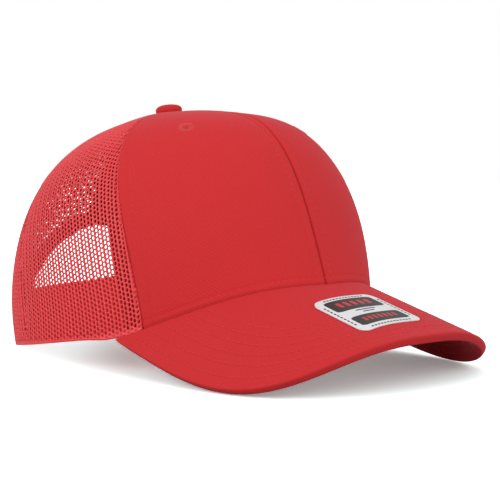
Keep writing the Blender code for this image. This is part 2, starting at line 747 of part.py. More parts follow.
def build_sticker():
    """Foil sticker just above the visor's top face."""
    ticks = (-1, -0.72, -0.36, 0, 0.36, 0.72, 1)
    plan = []
    for y in ticks:
        for x in ticks:
            left, fwd = x * STICKER_W / 2, y * STICKER_LEN / 2
            if abs(x) == 1 and abs(y) == 1:
                left -= math.copysign(STICKER_CORNER, x)
                fwd -= math.copysign(STICKER_CORNER, y)
            plan.append((STICKER_FORWARD + fwd, STICKER_LEFT + left))
    plan = np.array(plan)
    outer, inner = (visor_point(plan, np.ones(len(plan)), depth) for depth in STICKER)
    shape = closed_sheet(outer, inner, grid_faces(len(ticks), len(ticks)))
    add("visor_sticker", shape, FOIL_SILVER, FOIL)


# ---------------------------------------------------------------- top button and rivet
def build_button():
    apex = np.array([APEX_FORWARD, 0.0, CROWN_HEIGHT])
    foot = BUTTON_LIFT + BUTTON_WALL
    dome = [
        (BUTTON_R * math.cos(angle), foot + (BUTTON_H - BUTTON_WALL) * math.sin(angle))
        for angle in np.linspace(0.0, math.pi / 2, 6)[:-1]
    ]
    button = [(0, BUTTON_LIFT + BUTTON_H)] + dome[::-1] + [
        (BUTTON_R - 0.5, BUTTON_LIFT),
        (BUTTON_BORE_R, BUTTON_LIFT),
        (BUTTON_BORE_R, BUTTON_BORE_TOP),
        (0, BUTTON_BORE_TOP),
    ]
    head_top, head_bottom = RIVET_HEAD
    rivet = [
        (0, RIVET_SHANK_TOP), (RIVET_SHANK_R, RIVET_SHANK_TOP), (RIVET_SHANK_R, head_top),
        (RIVET_R, head_top), (RIVET_R, head_bottom), (0, head_bottom),
    ]
    add("top_button", turned(button, 24, apex, (0, 0, 1)), RED)
    add("button_rivet", turned(rivet, 24, apex, (0, 0, 1)), RIVET_SILVER, METAL)


# ---------------------------------------------------------------- embroidered eyelets
EYELET_PROFILE = (
    (EYELET_HOLE, -1.6), (EYELET_R, -1.6), (EYELET_R, 0.3),
    (EYELET_R - 0.7, 0.7), (EYELET_HOLE + 0.7, 0.7), (EYELET_HOLE, 0.3),
)


def make_cutter(name, origin, axis, radius, length):
    """A hidden cylinder for cutting a hole."""
    top = length / 2
    shape = turned([(0, top), (radius, top), (radius, -top), (0, -top)], 28, origin, axis)
    cutter = make_object(name, shape, CUTTER_GREY)
    cutter.hide_render = True
    cutter.display_type = "WIRE"
    return cutter


def build_eyelets():
    """An eyelet on each side in its own hole. Returns the cutters of the holes."""
    cutters = []
    for side, sign in SIDES:
        around = np.array([sign * EYELET_AROUND])
        centre = crown(around, EYELET_RISE)[0]
        climb = np.interp(EYELET_RISE, RISE_TABLE, meridians(around)[0][0])
        axis = normal(around, np.array([climb]))[0]
        add("eyelet_" + side, turned(EYELET_PROFILE, 16, centre, axis), DARK_RED)
        cutter = make_cutter(
            "eyelet_cutter_" + side, centre, axis,
            radius=EYELET_R + EYELET_CUT_CLEAR, length=EYELET_CUT_LENGTH,
        )
        cutters.append(cutter)
        for target in ("front_panel_", "front_buckram_"):
            cut = parts[target + side].modifiers.new("eyelet_hole", "BOOLEAN")
            cut.operation = "DIFFERENCE"
            cut.solver = "EXACT"
            cut.object = cutter
    return cutters


# ---------------------------------------------------------------- snap closure
STRAP_MID = (STRAP_LOW + STRAP_HIGH) / 2
STRAP_HALF = (STRAP_HIGH - STRAP_LOW) / 2
HOLE_ROOT = FOOT_ARC + HOLE_STRAP_OVERLAP
PEG_ROOT = -(FOOT_ARC + PEG_STRAP_OVERLAP)


def strap_points(plan, depth):
    """Points of a strap from (place along the rim, height from the strap's middle)."""
    return at_depth(around_at(plan[:, 0]), STRAP_MID + plan[:, 1], depth)


def strap_cells(low, high, centres):
    """Cuts a strap into (start, end, centre): a cell round each circle, plain ones between."""
    cells = []

    def fill(start, end, target):
        """Plain cells of about the target length."""
        gap = end - start
        if gap > 0.2:
            count = max(1, int(round(gap / target)))
            for i in range(count):
                cells.append((start + gap * i / count, start + gap * (i + 1) / count, None))

    reached = low
    for centre in sorted(centres):
        fill(reached, centre - SNAP_PITCH / 2, target=9)
        reached = centre + SNAP_PITCH / 2
        cells.append((centre - SNAP_PITCH / 2, reached, centre))
    fill(reached, high, target=7)
    return cells


def strap_sheet(root, end, centres, radius):
    """A flat strip with a ring of faces round each circle: plan points, faces and circles."""
    points, keys = [], {}

    def point(x, y):
        key = (round(x, 4), round(y, 4))
        if key not in keys:
            keys[key] = len(points)
            points.append((x, y))
        return keys[key]

    faces, circles = [], []
    steps = np.linspace(-STRAP_HALF, STRAP_HALF, 5)
    for start, stop, centre in strap_cells(min(root, end), max(root, end), centres):
        if centre is None:
            for y, above in zip(steps, steps[1:]):
                corners = ((start, y), (stop, y), (stop, above), (start, above))
                faces.append(tuple(point(*corner) for corner in corners))
            continue
        # Twelve points round the cell, counter-clockwise from its top left corner.
        border = [(start, y) for y in steps[::-1]] + [(centre, -STRAP_HALF)]
        border += [(stop, y) for y in steps] + [(centre, STRAP_HALF)]
        circle = []
        for k, (x, y) in enumerate(border):
            # Halfway between the border point's direction and an even spacing.
            toward = math.atan2(y, x - centre)
            even = math.pi * 0.75 + 2 * math.pi * k / 12
            even -= 2 * math.pi * round((even - toward) / (2 * math.pi))
            angle = 0.5 * toward + 0.5 * even
            circle.append(point(centre + radius * math.cos(angle), radius * math.sin(angle)))
        outer = [point(x, y) for x, y in border]
        for k in range(12):
            m = (k + 1) % 12
            faces.append((outer[k], outer[m], circle[m], circle[k]))
        circles.append(circle)
    return round_end(np.array(points), end), faces, circles


def round_end(plan, end):
    """Rounds the strap's free end by narrowing it there."""
    inside = (end - plan[:, 0]) * math.copysign(1, end)
    x = np.clip(STRAP_CORNER - inside, 0, STRAP_CORNER)
    keep = STRAP_HALF - STRAP_CORNER + np.sqrt(np.maximum(STRAP_CORNER**2 - x**2, 0))
    plan[:, 1] *= np.minimum(keep / STRAP_HALF, 1)
    return plan


def build_hole_strap():
    centres = [FIRST_HOLE + SNAP_PITCH * k for k in range(SNAP_COUNT)]
    plan, faces, _ = strap_sheet(HOLE_ROOT, HOLE_STRAP_END, centres, HOLE_R)
    outer, inner = (strap_points(plan, depth) for depth in HOLE_STRAP)
    shape = closed_sheet(outer, inner, faces)
    add("hole_strap", shape, DARK_RED, PLASTIC, sharp_angle=40)


def build_peg_strap():
    centres = [FIRST_PEG - SNAP_PITCH * k for k in range(SNAP_COUNT)]
    plan, faces, circles = strap_sheet(PEG_ROOT, PEG_STRAP_END, centres, PEG_R)
    count = len(plan)
    outer, inner, tip = (strap_points(plan, depth) for depth in (*PEG_STRAP, PEG_TOP))
    sheet, faces = closed_sheet(outer, inner, faces)
    # The circles' walls go: the inner face is closed flat and the outer face carries the pegs.
    rims = [set(circle) | {i + count for i in circle} for circle in circles]
    faces = [face for face in faces if not any(set(face) <= rim_set for rim_set in rims)]
    points = [sheet]
    first = 2 * count
    for circle in circles:
        faces.append(tuple(i + count for i in circle[::-1]))
        points.append(tip[circle])
        top = list(range(first, first + len(circle)))
        first += len(circle)
        for k in range(len(circle)):
            m = (k + 1) % len(circle)
            faces.append((circle[k], circle[m], top[m], top[k]))
        faces.append(tuple(top))
    shape = (np.concatenate(points), faces)
    add("peg_strap", shape, DARK_RED, PLASTIC, sharp_angle=40)


# ---------------------------------------------------------------- resting pose and frame
def lowest(names, pitch):
    """Height of the lowest point after the crown leans back by a pitch in radians."""
    points = np.concatenate([coordinates(parts[name]) for name in names])
    return (points[:, 2] * math.cos(pitch) - points[:, 1] * math.sin(pitch)).min()


def resting_pitch():
    """The pitch at which the visor and the back of the rim touch the ground together."""
    tips = ("visor_bottom_cover", "visor_top_cover")
    back = ("back_mesh_left", "back_mesh_right", "arch_binding", "sweatband")
    low, high = 0.0, math.radians(20)
    for _ in range(50):
        pitch = (low + high) / 2
        # A larger pitch lifts the visor tips and lowers the back of the rim.
        if lowest(tips, pitch) < lowest(back, pitch):
            low = pitch
        else:
            high = pitch
    return (low + high) / 2


def make_frame():
    """The crown's frame, leaning back, with the cap centred over the origin and on the ground."""
    lean = Matrix.Rotation(-resting_pitch(), 4, "X")
    cloud = np.concatenate([coordinates(obj) for obj in parts.values()])
    cloud = cloud @ np.array(lean.to_3x3()).T
    low, high = cloud.min(0), cloud.max(0)
    shift = Vector((-(low[0] + high[0]) / 2, -(low[1] + high[1]) / 2, -low[2]))
    frame = bpy.data.objects.new("crown_frame", None)
    frame.matrix_world = Matrix.Translation(shift) @ lean
    bpy.context.scene.collection.objects.link(frame)
    return frame


def hang_from_pivot(strap, place, depth, frame):
    """An empty on a strap's bending line, with the strap hung from it."""
    point = strap_points(np.array([[place, 0.0]]), depth)[0]
    location = Vector(to_metres(point))
    empty = bpy.data.objects.new(strap.name + "_pivot", None)
    empty.location = location
    empty.parent = frame
    bpy.context.scene.collection.objects.link(empty)
    for vertex in strap.data.vertices:
        vertex.co -= location
    strap.parent = empty


def assemble(cutters):
    frame = make_frame()
    for obj in list(parts.values()) + cutters:
        obj.parent = frame
    hole_pivot = FOOT_ARC - HOLE_PIVOT_INSET
    hang_from_pivot(parts["hole_strap"], hole_pivot, HOLE_STRAP[0], frame)
    hang_from_pivot(parts["peg_strap"], PEG_ROOT, PEG_STRAP[1], frame)
    bpy.context.view_layer.update()


for old in list(bpy.data.objects):
    bpy.data.objects.remove(old, do_unlink=True)

build_front_and_side_panels()
build_back_panels()
build_tapes()
build_binding()
build_band()
build_visor()
build_sticker()
build_button()
eyelet_cutters = build_eyelets()
build_hole_strap()
build_peg_strap()
assemble(eyelet_cutters)
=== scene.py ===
"""Looks of a trucker cap: cloth front, knit net sides and back, curved visor with a foil sticker.

Crown coordinates are millimetres (forward, left, up) from the rim, left being the wearer's.
world() leans the crown back and places it in the scene, where forward is -Y and left is +X.
The crown is one smooth surface of (turn, rise). turn runs round the head: 0 front centre,
1 front seam, 2 side seam, 3 back centre, negative on the right. rise is the length up from
the rim. Each cloth piece is an interval of depth below this surface.
"""

import functools
import json
import math
import bpy
import numpy as np
from mathutils import Matrix, Vector

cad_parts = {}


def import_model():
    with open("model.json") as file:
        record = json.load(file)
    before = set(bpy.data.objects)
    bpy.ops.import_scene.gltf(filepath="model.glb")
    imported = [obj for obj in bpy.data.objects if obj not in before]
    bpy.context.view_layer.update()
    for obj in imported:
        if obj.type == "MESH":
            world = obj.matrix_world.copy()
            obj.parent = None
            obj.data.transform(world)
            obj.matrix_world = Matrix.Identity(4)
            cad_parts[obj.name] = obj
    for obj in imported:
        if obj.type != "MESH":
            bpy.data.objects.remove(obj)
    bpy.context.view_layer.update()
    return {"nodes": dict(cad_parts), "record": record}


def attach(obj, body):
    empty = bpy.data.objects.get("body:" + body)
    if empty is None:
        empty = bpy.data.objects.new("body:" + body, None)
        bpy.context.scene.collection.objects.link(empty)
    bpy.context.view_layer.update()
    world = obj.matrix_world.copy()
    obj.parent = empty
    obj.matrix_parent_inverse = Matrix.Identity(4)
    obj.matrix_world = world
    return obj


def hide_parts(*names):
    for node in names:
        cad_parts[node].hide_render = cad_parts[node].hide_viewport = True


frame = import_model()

nodes = frame["nodes"]
MM = 0.001
SIDES = (("right", -1), ("left", 1))

# ---------------------------------------------------------------- sizes
# Rim outline: cosine terms forward, sine terms to the left.
RIM_FORWARD = (2.0, 98.3, 0.2, 2.2, 0.1, 0.5)
RIM_LEFT = (0.0, 88.7, -0.3, 0.8, 0.2, 0.4)
SEAM_FRONT_ARC, SEAM_SIDE_ARC = 88.9, 169.2  # along the rim from the front centre
CROWN_HEIGHT, APEX_FORWARD = 111.5, -1.6
# Values at turns 0, 1, 2 and 3: roundness in plan and of the wall, and outward bulge.
ROUND_PLAN = (3.65, 2.70, 1.82, 2.78)
ROUND_WALL = (1.78, 3.16, 3.47, 0.90)
BULGE = (-2.7, 1.6, -0.7, 6.0)
FRONT_DIP, SEAM_BOW, RIM_SAG = -3.3, 0.164, 1.4
VISOR_TURN = 1.216  # where the visor's ends meet the rim
ARCH_RISE, VISOR_SLOPE, CAMBER_POWER = 16.5, 0.415, 2.53
VISOR_TIP, VISOR_SPREAD, VISOR_RUN, VISOR_RUN_ANGLE = 162.5, 88.4, 47.9, -2.4
VISOR_SKIN, VISOR_THICK, VISOR_EDGE_RADIUS = 0.9, 4.0, 1.0
VISOR_ROW_INSETS = (4.0, 8.1, 12.1, 16.2, 20.4, 24.6)
TAPE_HALF, TAPE_THICK, TAPE_TOP_RADIUS = 10.0, 0.5, 5.0
# Back opening, a superellipse seen from behind.
OPENING_HALF, OPENING_HEIGHT, OPENING_POWER, FOOT_RISE = 54.6, 62.3, 1.75, 20.0
BINDING_WIDTH, BINDING_STITCH = 8.0, 5.9
BAND_HEIGHT, BAND_LOW, BAND_SHORT = 27.6, 0.5, 9.0
BUTTON_RADIUS, BUTTON_HEIGHT, BUTTON_WALL, BUTTON_LIFT = 6.9, 5.0, 2.3, 0.5
BUTTON_SINK = 4.9  # from the crown's top down to the button's mount
EYELET_TURN, EYELET_CLIMB, EYELET_RADIUS = 0.536, 0.615, 4.4
EYELET_CUT, EYELET_INNER, EYELET_THREADS = 3.3, 1.2, 44
STITCH_CENTRE, STITCH_SIDE, STITCH_HEM, GROOVE = 5.0, 5.6, 3.1, 0.26
STITCH_TOP_RADIUS, STITCH_LIFT = 8.5, 0.06
# Knit: pitches of its columns and courses, and half sizes of its holes.
COLUMN_PITCH, COURSE_PITCH = 2.3, 2.2
HOLE_X, HOLE_Y = 0.68, 0.80
NET_TOP, SEAM_GAP = 178, 0.22
STICKER_FORWARD, STICKER_LEFT, STICKER_WIDTH, STICKER_LENGTH = 133.7, -7.5, 37.0, 30.5

# ---------------------------------------------------------------- helpers
def unit(vectors):
    return vectors / np.linalg.norm(vectors, axis=-1, keepdims=True)


def run_along(points):
    """Length along a line of points, starting at 0."""
    return np.concatenate([[0], np.cumsum(np.linalg.norm(np.diff(points, axis=0), axis=1))])


def bell(x, width):
    return np.exp(-((x / width) ** 2))


def smoothstep(x):
    x = np.clip(x, 0, 1)
    return x * x * (3 - 2 * x)


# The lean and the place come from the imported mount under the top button.
mount = frame["record"]["mounts"][0]
LEAN = Matrix.Rotation(-math.atan2(-mount["axis"][1], -mount["axis"][2]), 4, "X")
mount_point = LEAN @ Vector((0, -APEX_FORWARD * MM, (CROWN_HEIGHT - BUTTON_SINK) * MM))
PLACE = np.array(Matrix.Translation(Vector(mount["pos_m"]) - mount_point) @ LEAN)


def world(points):
    points = np.asarray(points, float)
    scene_points = np.stack([points[..., 1], -points[..., 0], points[..., 2]], -1) * MM
    return scene_points @ PLACE[:3, :3].T + PLACE[:3, 3]


# ---------------------------------------------------------------- crown surface
def series(values):
    """Cosine terms that take the given values at turns 0 to 3."""
    k = np.arange(4)
    return np.linalg.solve(np.cos(np.pi * np.outer(k, k) / 3), np.array(values, float))


def along(terms, turn):
    return sum(term * np.cos(np.pi * k * turn / 3) for k, term in enumerate(terms))


PLAN_TERMS, WALL_TERMS, BULGE_TERMS = series(ROUND_PLAN), series(ROUND_WALL), series(BULGE)


def rim_at(angle):
    return (
        sum(term * np.cos(k * angle) for k, term in enumerate(RIM_FORWARD)),
        sum(term * np.sin(k * angle) for k, term in enumerate(RIM_LEFT)),
    )


RIM_ANGLES = np.linspace(0, np.pi, 2001)
rim_steps = np.hypot(*(np.diff(part) for part in rim_at(RIM_ANGLES)))
RIM_ARCS = np.concatenate([[0], np.cumsum(rim_steps)])
HALF_RIM = float(RIM_ARCS[-1])


def arc_of(turn):
    """Rim length from the front centre, passing through both measured seams."""
    even, sine = HALF_RIM / 3, math.sin(math.pi / 3)
    first, second = (SEAM_FRONT_ARC - even) / sine, (SEAM_SIDE_ARC - 2 * even) / sine
    wave = (first + second) / 2 * np.sin(np.pi * turn / 3)
    return even * turn + wave + (first - second) / 2 * np.sin(2 * np.pi * turn / 3)


def rim(turn):
    angle = np.interp(arc_of(np.clip(np.abs(turn), 0, 3)), RIM_ARCS, RIM_ANGLES)
    forward, left = rim_at(angle)
    return forward, np.where(np.asarray(turn) < 0, -left, left)


RIM_FRONT = float(rim(np.array(0.0))[0])
JOIN_FORWARD, JOIN_LEFT = (float(c) for c in rim(np.array(VISOR_TURN)))
CAMBER = (ARCH_RISE - VISOR_SLOPE * (JOIN_FORWARD - RIM_FRONT)) / JOIN_LEFT**CAMBER_POWER


def visor_z(forward, left):
    slope = VISOR_SLOPE * (forward - RIM_FRONT)
    return ARCH_RISE - slope - CAMBER * np.abs(left) ** CAMBER_POWER


def rim_z(forward, left, turn):
    """Rim height: arched over the visor, sagging a little behind it."""
    z = visor_z(forward, left)
    over_visor = smoothstep((VISOR_TURN + 0.2 - turn) / 0.2)
    behind = np.clip((turn - VISOR_TURN) / (3 - VISOR_TURN), 0, 1)
    sag = RIM_SAG * behind * np.sin(np.pi * behind) * 1.6
    return 0.5 * (z + np.sqrt(z * z + 2.25)) * over_visor - sag


def crown(turn, climb):
    """Crown points. climb is 0 at the rim and 1 at the top; below 0 it goes straight down."""
    signed, climb = np.broadcast_arrays(np.asarray(turn, float), np.asarray(climb, float))
    part = np.clip(climb, 0, 1)
    bow = SEAM_BOW * 4 * part * (1 - part) * np.sin(np.pi * np.abs(signed) / 3)
    turn = np.clip(np.abs(signed) + bow, 0, 3)
    forward, left = rim(np.where(signed < 0, -turn, turn))
    low = rim_z(forward, left, turn)
    angle = part * np.pi / 2
    reach = np.cos(angle) ** (2 / along(PLAN_TERMS, turn))
    height = np.sin(angle) ** (2 / along(WALL_TERMS, turn))
    bulge = along(BULGE_TERMS, turn) * height * (1 - height) ** 2 * 6.75
    swell = reach + bulge / np.maximum(np.hypot(forward - APEX_FORWARD, left), 1)
    z = low + (CROWN_HEIGHT - low) * height
    dip = FRONT_DIP * np.exp(-0.8 * turn**2) * bell(reach - 0.45, 0.28)
    z = z + dip * (1 - bell(reach, 0.15)) + np.minimum(climb, 0) * 100
    return np.stack([APEX_FORWARD + (forward - APEX_FORWARD) * swell, left * swell, z], -1)


# Meridians from rim to top, with stations crowded at both ends.
_even = np.linspace(0, 1, 260)
CLIMBS = _even**2.6 / (_even**2.6 + (1 - _even) ** 1.6)
TURN_STEP = 0.01
TURNS = np.linspace(-3, 3, 601)
FRONT_COLUMN = 300  # the column of turn 0
RISES = np.arange(-6.0, 186.0, 1.0)
meridians = crown(TURNS[:, None], CLIMBS[None])
_steps = np.linalg.norm(np.diff(meridians, axis=1), axis=-1)
MERIDIAN_RUNS = np.concatenate([np.zeros((len(_steps), 1)), np.cumsum(_steps, 1)], 1)
APEX_DISTANCE = np.hypot(meridians[..., 0] - APEX_FORWARD, meridians[..., 1])

# Dense tables over (turn, rise): points, normals and sideways distance.
_climbs = np.stack([np.interp(RISES, row, CLIMBS) for row in MERIDIAN_RUNS])
_climbs[:, RISES < 0] = RISES[RISES < 0] / 100
POINTS = crown(TURNS[:, None], _climbs)
_ring = np.concatenate([POINTS[-2:-1], POINTS, POINTS[1:2]])
NORMALS = np.cross((_ring[2:] - _ring[:-2]) / (2 * TURN_STEP), np.gradient(POINTS, axis=1))
_length = np.linalg.norm(NORMALS, axis=-1, keepdims=True)
NORMALS = np.where(_length > 0.3, NORMALS / np.maximum(_length, 1e-9), (0.0, 0.0, 1.0))
# Below a rise of 3 the normal stays as it is there.
_flat = int(np.searchsorted(RISES, 3.0))
NORMALS[:, :_flat] = NORMALS[:, _flat : _flat + 1]
_steps = np.linalg.norm(np.diff(POINTS[FRONT_COLUMN:], axis=0), axis=-1)
SIDEWAYS = np.concatenate([np.zeros((1, len(RISES))), np.cumsum(_steps, 0)])
SIDEWAYS[:, RISES < 0] = SIDEWAYS[:, RISES == 0]


@functools.cache
def top_rises(radius):
    """For every meridian, the rise at which it comes within a radius of the top."""
    rises = []
    for away, run in zip(APEX_DISTANCE, MERIDIAN_RUNS):
        i = int(np.nonzero(away > radius)[0][-1])
        part = (away[i] - radius) / (away[i] - away[i + 1])
        rises.append(run[i] + (run[i + 1] - run[i]) * part)
    return np.array(rises)


def top_rise(turn, radius=3.0):
    return np.interp(turn, TURNS, top_rises(radius))


def look(table, first_turn, turn, rise):
    """Values of a dense table, mixed between its four nearest cells."""
    turn, rise = np.broadcast_arrays(np.asarray(turn, float), np.asarray(rise, float))
    row = np.clip((turn - first_turn) / TURN_STEP, 0, len(table) - 1.0001)
    column = np.clip(rise - RISES[0], 0, len(RISES) - 1.0001)
    i, j = row.astype(int), column.astype(int)
    across, up = row - i, column - j
    if table.ndim == 3:
        across, up = across[..., None], up[..., None]
    return (
        table[i, j] * (1 - across) * (1 - up)
        + table[i + 1, j] * across * (1 - up)
        + table[i, j + 1] * (1 - across) * up
        + table[i + 1, j + 1] * across * up
    )


def point_at(turn, rise):
    return look(POINTS, -3, turn, rise)


def normal_at(turn, rise):
    return look(NORMALS, -3, turn, rise)


def at_depth(turn, rise, depth):
    depth = np.asarray(depth, float)[..., None]
    return point_at(turn, rise) - normal_at(turn, rise) * depth


def x_of(turn, rise):
    """Sideways distance from the front centre, for turns from 0 to 3."""
    return look(SIDEWAYS, 0, turn, rise)


def turn_of(x, rise):
    """The turn from 0 to 3 at a sideways distance and a rise."""
    x, rise = np.broadcast_arrays(np.asarray(x, float), np.asarray(rise, float))
    shape = x.shape
    x, rise = x.ravel(), rise.ravel()
    column = np.clip(rise - RISES[0], 0, len(RISES) - 1.0001)
    j = column.astype(int)
    up = column - j
    below, above = np.empty_like(x), np.empty_like(x)
    order = np.argsort(j, kind="stable")
    cuts = np.searchsorted(j[order], np.arange(len(RISES) + 1))
    turns = TURNS[FRONT_COLUMN:]
    for k in range(len(RISES) - 1):
        pick = order[cuts[k] : cuts[k + 1]]
        if len(pick):
            below[pick] = np.interp(x[pick], SIDEWAYS[:, k], turns)
            above[pick] = np.interp(x[pick], SIDEWAYS[:, k + 1], turns)
    return (below * (1 - up) + above * up).reshape(shape)


def skirt(turn):
    """How far the cloth reaches below the rim: down the visor's inner edge at the front."""
    front = np.clip((VISOR_TURN - 0.02 - np.abs(turn)) / 0.2, 0, 1)
    # Just behind the visor the hem dips a little, to meet the visor's ends.
    dip = 1.1 * bell(np.abs(turn) - 1.235, 0.11) * (1 - front)
    return (VISOR_THICK - 0.3) * smoothstep(front) + dip


# ---------------------------------------------------------------- materials
class Nodes:
    """A short way to write a node material."""

    def __init__(self, name):
        self.mat = bpy.data.materials.new(name)
        self.mat.use_nodes = True
        self.tree = self.mat.node_tree
        self.shader = self.tree.nodes["Principled BSDF"]

    def add(self, kind, **props):
        node = self.tree.nodes.new(kind)
        for key, value in props.items():
            setattr(node, key, value)
        return node

    def feed(self, node, values):
        """Set or link inputs: sockets are linked, tuples are RGB colours."""
        for key, value in values.items():
            if isinstance(value, bpy.types.NodeSocket):
                self.tree.links.new(value, node.inputs[key])
            elif isinstance(value, tuple):
                node.inputs[key].default_value = (*value, 1.0)
            else:
                node.inputs[key].default_value = value

    def math(self, kind, a, b=0.0, c=0.0):
        node = self.add("ShaderNodeMath", operation=kind)
        self.feed(node, {0: a, 1: b, 2: c})
        return node.outputs[0]

    def mix(self, factor, a, b):
        node = self.add("ShaderNodeMix", data_type="RGBA")
        self.feed(node, {0: factor, 6: a, 7: b})
        return node.outputs[2]

    def noise(self, scale, detail):
        place = self.add("ShaderNodeTexCoord").outputs["Object"]
        node = self.add("ShaderNodeTexNoise")
        self.feed(node, {"Scale": scale, "Detail": detail, "Roughness": 0.55, "Vector": place})
        return node.outputs["Fac"]

    def uv(self, angle=0.0):
        """Cloth coordinates in millimetres, turned by an angle."""
        place = self.add("ShaderNodeUVMap", uv_map="cloth").outputs["UV"]
        rotate = self.add("ShaderNodeVectorRotate", rotation_type="Z_AXIS")
        self.feed(rotate, {"Angle": angle, "Vector": place})
        split = self.add("ShaderNodeSeparateXYZ")
        self.feed(split, {"Vector": rotate.outputs["Vector"]})
        return split.outputs[0], split.outputs[1]

    def wave(self, coordinate, pitch):
        """0 to 1, one ridge every pitch."""
        phase = self.math("MULTIPLY", coordinate, 2 * math.pi / pitch)
        return self.math("MULTIPLY_ADD", self.math("SINE", phase), 0.5, 0.5)

    def finish(self, colour, rough, specular, height=None, strength=0.5, distance=0.0001,
               sheen=0.0, tint=(1, 1, 1), metallic=0.0):
        self.feed(self.shader, {
            "Base Color": colour, "Roughness": rough, "Metallic": metallic,
            "Specular IOR Level": specular, "Sheen Weight": sheen, "Sheen Roughness": 0.45,
            "Sheen Tint": tint,
        })
        if height is not None:
            bump = self.add("ShaderNodeBump")
            self.feed(bump, {"Strength": strength, "Distance": distance, "Height": height})
            self.feed(self.shader, {"Normal": bump.outputs["Normal"]})
        return self.mat


def scaled(colour, factor):
    return tuple(min(1.0, c * factor) for c in colour)


def twill(name, colour, pitch=1.3, contrast=0.12, strength=0.35, sheen=0.13):
    """Slanting ribs with uneven yarn and faint darker clouds."""
    m = Nodes(name)
    x, y = m.uv(-0.8)
    rib = m.wave(x, pitch)
    cross = m.wave(y, pitch)
    yarn = m.math("MULTIPLY_ADD", cross, 0.45, m.math("MULTIPLY", rib, 0.55))
    slub = m.noise(900, 2.0)
    cloud = m.noise(38, 2.0)
    tone = m.math("ADD", m.math("MULTIPLY", yarn, 0.75), m.math("MULTIPLY", slub, 0.5))
    base = m.mix(tone, scaled(colour, 1 - contrast), scaled(colour, 1 + contrast * 0.8))
    base = m.mix(m.math("MULTIPLY", cloud, 0.14), base, scaled(colour, 0.8))
    height = m.math("MULTIPLY_ADD", slub, 0.35, yarn)
    return m.finish(base, 0.8, specular=0.24, height=height, strength=strength,
                    distance=0.00013, sheen=sheen, tint=(1.0, 0.3, 0.45))


def yarn_net(name, colour):
    """Shiny fibres with fine loops across the yarn."""
    m = Nodes(name)
    y = m.uv()[1]
    fibre = m.noise(2600, 3.0)
    loops = m.wave(y, 0.55)
    height = m.math("MULTIPLY_ADD", fibre, 0.6, m.math("MULTIPLY", loops, 0.5))
    tone = m.math("MULTIPLY_ADD", fibre, 0.7, m.math("MULTIPLY", loops, 0.2))
    base = m.mix(tone, scaled(colour, 0.78), scaled(colour, 1.15))
    return m.finish(base, 0.4, specular=0.6, height=height, strength=0.35,
                    sheen=0.4, tint=(1.0, 0.45, 0.6))


def plain_cloth(name, colour, pitch=0.7, strength=0.4, sheen=0.25, contrast=0.12, tint=(1, 1, 1)):
    """A square weave with a fine grain."""
    m = Nodes(name)
    x, y = m.uv()
    weave = m.math("MULTIPLY", m.wave(x, pitch), m.wave(y, pitch))
    grain = m.noise(1400, 2.0)
    height = m.math("MULTIPLY_ADD", grain, 0.4, weave)
    tone = m.math("MULTIPLY_ADD", weave, 0.6, m.math("MULTIPLY", grain, 0.4))
    base = m.mix(tone, scaled(colour, 1 - contrast), scaled(colour, 1 + contrast))
    return m.finish(base, 0.85, specular=0.25, height=height, strength=strength,
                    distance=0.00012, sheen=sheen, tint=tint)


def thread_material(name, colour):
    m = Nodes(name)
    grain = m.noise(5200, 2.0)
    base = m.mix(grain, scaled(colour, 0.82), scaled(colour, 1.12))
    return m.finish(base, 0.5, specular=0.4, height=grain, strength=0.35,
                    distance=0.00006, sheen=0.2, tint=(1, 0.6, 0.6))


def plain(name, colour, rough, metallic=0.0, bump=0.1, scale=700):
    """A hard surface with slight wear."""
    m = Nodes(name)
    grain = m.noise(scale, 3.0)
    base = m.mix(grain, scaled(colour, 0.93), scaled(colour, 1.05))
    wear = m.math("MULTIPLY_ADD", grain, 0.12, rough - 0.06)
    return m.finish(base, wear, specular=0.5, height=grain, strength=bump,
                    distance=0.00005, metallic=metallic)


RED = (0.610, 0.0235, 0.0260)
RED_TINT = (1, 0.5, 0.5)
TWILL = twill("twill_front_cloth", RED)
TWILL_VISOR = twill("twill_visor_cloth", scaled(RED, 0.97), contrast=0.05, strength=0.2)
TWILL_BUTTON = twill("twill_button_cloth", scaled(RED, 0.95), pitch=0.8, contrast=0.1)
NET = yarn_net("mesh_yarn", scaled(RED, 1.45))
BAND = twill("sweatband_cloth", RED, pitch=0.8, sheen=0.2)
# Painted light: the sweatband glows faintly red, which keeps the inside of the crown from going
# dark.
band_glow_inputs = BAND.node_tree.nodes["Principled BSDF"].inputs
band_glow_inputs["Emission Color"].default_value = (*RED, 1)
band_glow_inputs["Emission Strength"].default_value = 0.22
TAPE = plain_cloth("tape_cloth", scaled(RED, 0.8), tint=RED_TINT)
BINDING = plain_cloth("binding_cloth", scaled(RED, 0.86), tint=RED_TINT)
BUCKRAM = plain_cloth("buckram_cloth", (0.74, 0.71, 0.65), pitch=1.6, strength=0.9, sheen=0.0,
                      contrast=0.2)
FOAM = plain_cloth("foam_cloth", (0.72, 0.71, 0.68), pitch=2.4, strength=0.6, sheen=0.1)
LABEL = plain_cloth("label_cloth", (0.86, 0.85, 0.82), pitch=0.5, strength=0.25, sheen=0.1,
                    contrast=0.05)
THREAD = thread_material("thread_red", scaled(RED, 1.08))
THREAD_WHITE = thread_material("thread_white", (0.8, 0.79, 0.77))
PLASTIC = plain("snap_plastic_red", scaled(RED, 0.85), rough=0.34, bump=0.05)
BOARD = plain("board_plastic", (0.03, 0.03, 0.032), rough=0.5, bump=0.15)
METAL = plain("rivet_metal", (0.62, 0.62, 0.63), rough=0.28, metallic=1.0)
PRINT = {"bump": 0.05, "scale": 300}
FOIL = plain("foil_silver", (0.86, 0.87, 0.88), rough=0.4, metallic=0.2, **PRINT)
INK = plain("foil_dark", (0.012, 0.013, 0.016), rough=0.4, metallic=0.1, **PRINT)
INK_RED = plain("foil_red", (0.6, 0.03, 0.035), rough=0.4, metallic=0.1, **PRINT)
INK_LINE = plain("foil_line", (0.012, 0.012, 0.012), rough=0.5, **PRINT)


